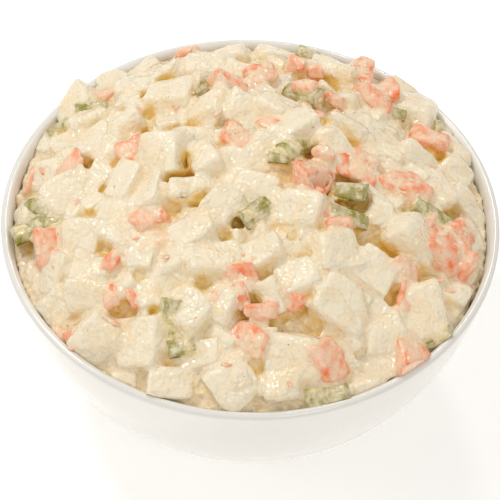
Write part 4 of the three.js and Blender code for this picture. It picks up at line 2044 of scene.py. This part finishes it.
@dataclass
class Studio:
    """The camera that fits the photograph, a pale floor and soft light, in metres and degrees."""

    elevation: float = 50.18
    distance: float = 0.8
    target: Point = (0.0002, 0.0, 0.0598)
    lens: float = 156.7
    sensor: float = 36.0
    roll: float = 2.03
    floor_half: float = 3.0
    floor_glow: float = 0.25
    lamp_colour: Colour = (1.0, 0.975, 0.94)
    lamp_target: Point = (0.0, 0.0, 0.06)
    room_colour: Colour = (1.0, 0.97, 0.92)
    room_light: float = 0.57

    def build(self, larder: Larder) -> None:
        """Sets up the whole studio.

        Args:
            larder: the finishes, for the floor's.
        """
        self._camera()
        self._floor(larder)
        self._room()
        for lamp in LAMPS:
            self._light(lamp)
        bpy.context.scene.view_settings.view_transform = "Standard"

    def _camera(self) -> None:
        """The camera, looking down at the heap and turned a little about its own line of sight."""
        rise, turn = math.radians(self.elevation), math.radians(self.roll)
        forward = Vector((0, math.cos(rise), -math.sin(rise)))
        right, up = Vector((1, 0, 0)), Vector((0, math.sin(rise), math.cos(rise)))
        right_turned = right * math.cos(turn) + up * math.sin(turn)
        up_turned = up * math.cos(turn) - right * math.sin(turn)
        data = bpy.data.cameras.new("camera")
        data.lens, data.sensor_width = self.lens, self.sensor
        camera = linked("camera", data)
        axes = Matrix((right_turned, up_turned, -forward)).transposed().to_4x4()
        camera.matrix_world = Matrix.Translation(Vector(self.target) - forward * self.distance) @ axes
        bpy.context.scene.camera = camera

    def _floor(self, larder: Larder) -> None:
        """A plain, pale floor.

        Args:
            larder: the finishes, for the floor's.
        """
        corners = np.array([(-1, -1, 0), (1, -1, 0), (1, 1, 0), (-1, 1, 0)]) * self.floor_half
        floor = mesh_object("floor", corners, [(0, 1, 2, 3)])
        finish = Finish("pale_floor")
        clouds = larder.clouds(finish, larder.colours.paper, larder.colours.glaze, 2.0, 40.0, 0.15)
        finish.feed(
            Base_Color=clouds["Color"], Roughness=0.9,
            Emission_Color=(1.0, 1.0, 1.0), Emission_Strength=self.floor_glow,
        )
        floor.data.materials.append(finish.material)

    def _room(self) -> None:
        """Warm white light from all round."""
        world = bpy.data.worlds.new("soft_room")
        world.use_nodes = True
        background = world.node_tree.nodes["Background"]
        background.inputs["Color"].default_value = (*self.room_colour, 1.0)
        background.inputs["Strength"].default_value = self.room_light
        bpy.context.scene.world = world

    def _light(self, lamp: Lamp) -> None:
        """Hangs one lamp and turns it to the heap.

        Args:
            lamp: what to hang.
        """
        data = bpy.data.lights.new(lamp.name, "AREA")
        data.size, data.energy, data.color = lamp.size, lamp.power, self.lamp_colour
        made = linked(lamp.name, data)
        made.location = lamp.place
        towards = Vector(self.lamp_target) - Vector(lamp.place)
        made.rotation_euler = towards.to_track_quat("-Z", "Y").to_euler()


def main() -> None:
    """Loads the frame and builds everything in order."""
    logging.basicConfig(level=logging.INFO, format="%(message)s")
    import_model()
    larder = Larder()
    Studio().build(larder)
    Bowl().build(larder)
    Salad().build(larder)


if __name__ == "__main__":
    main()
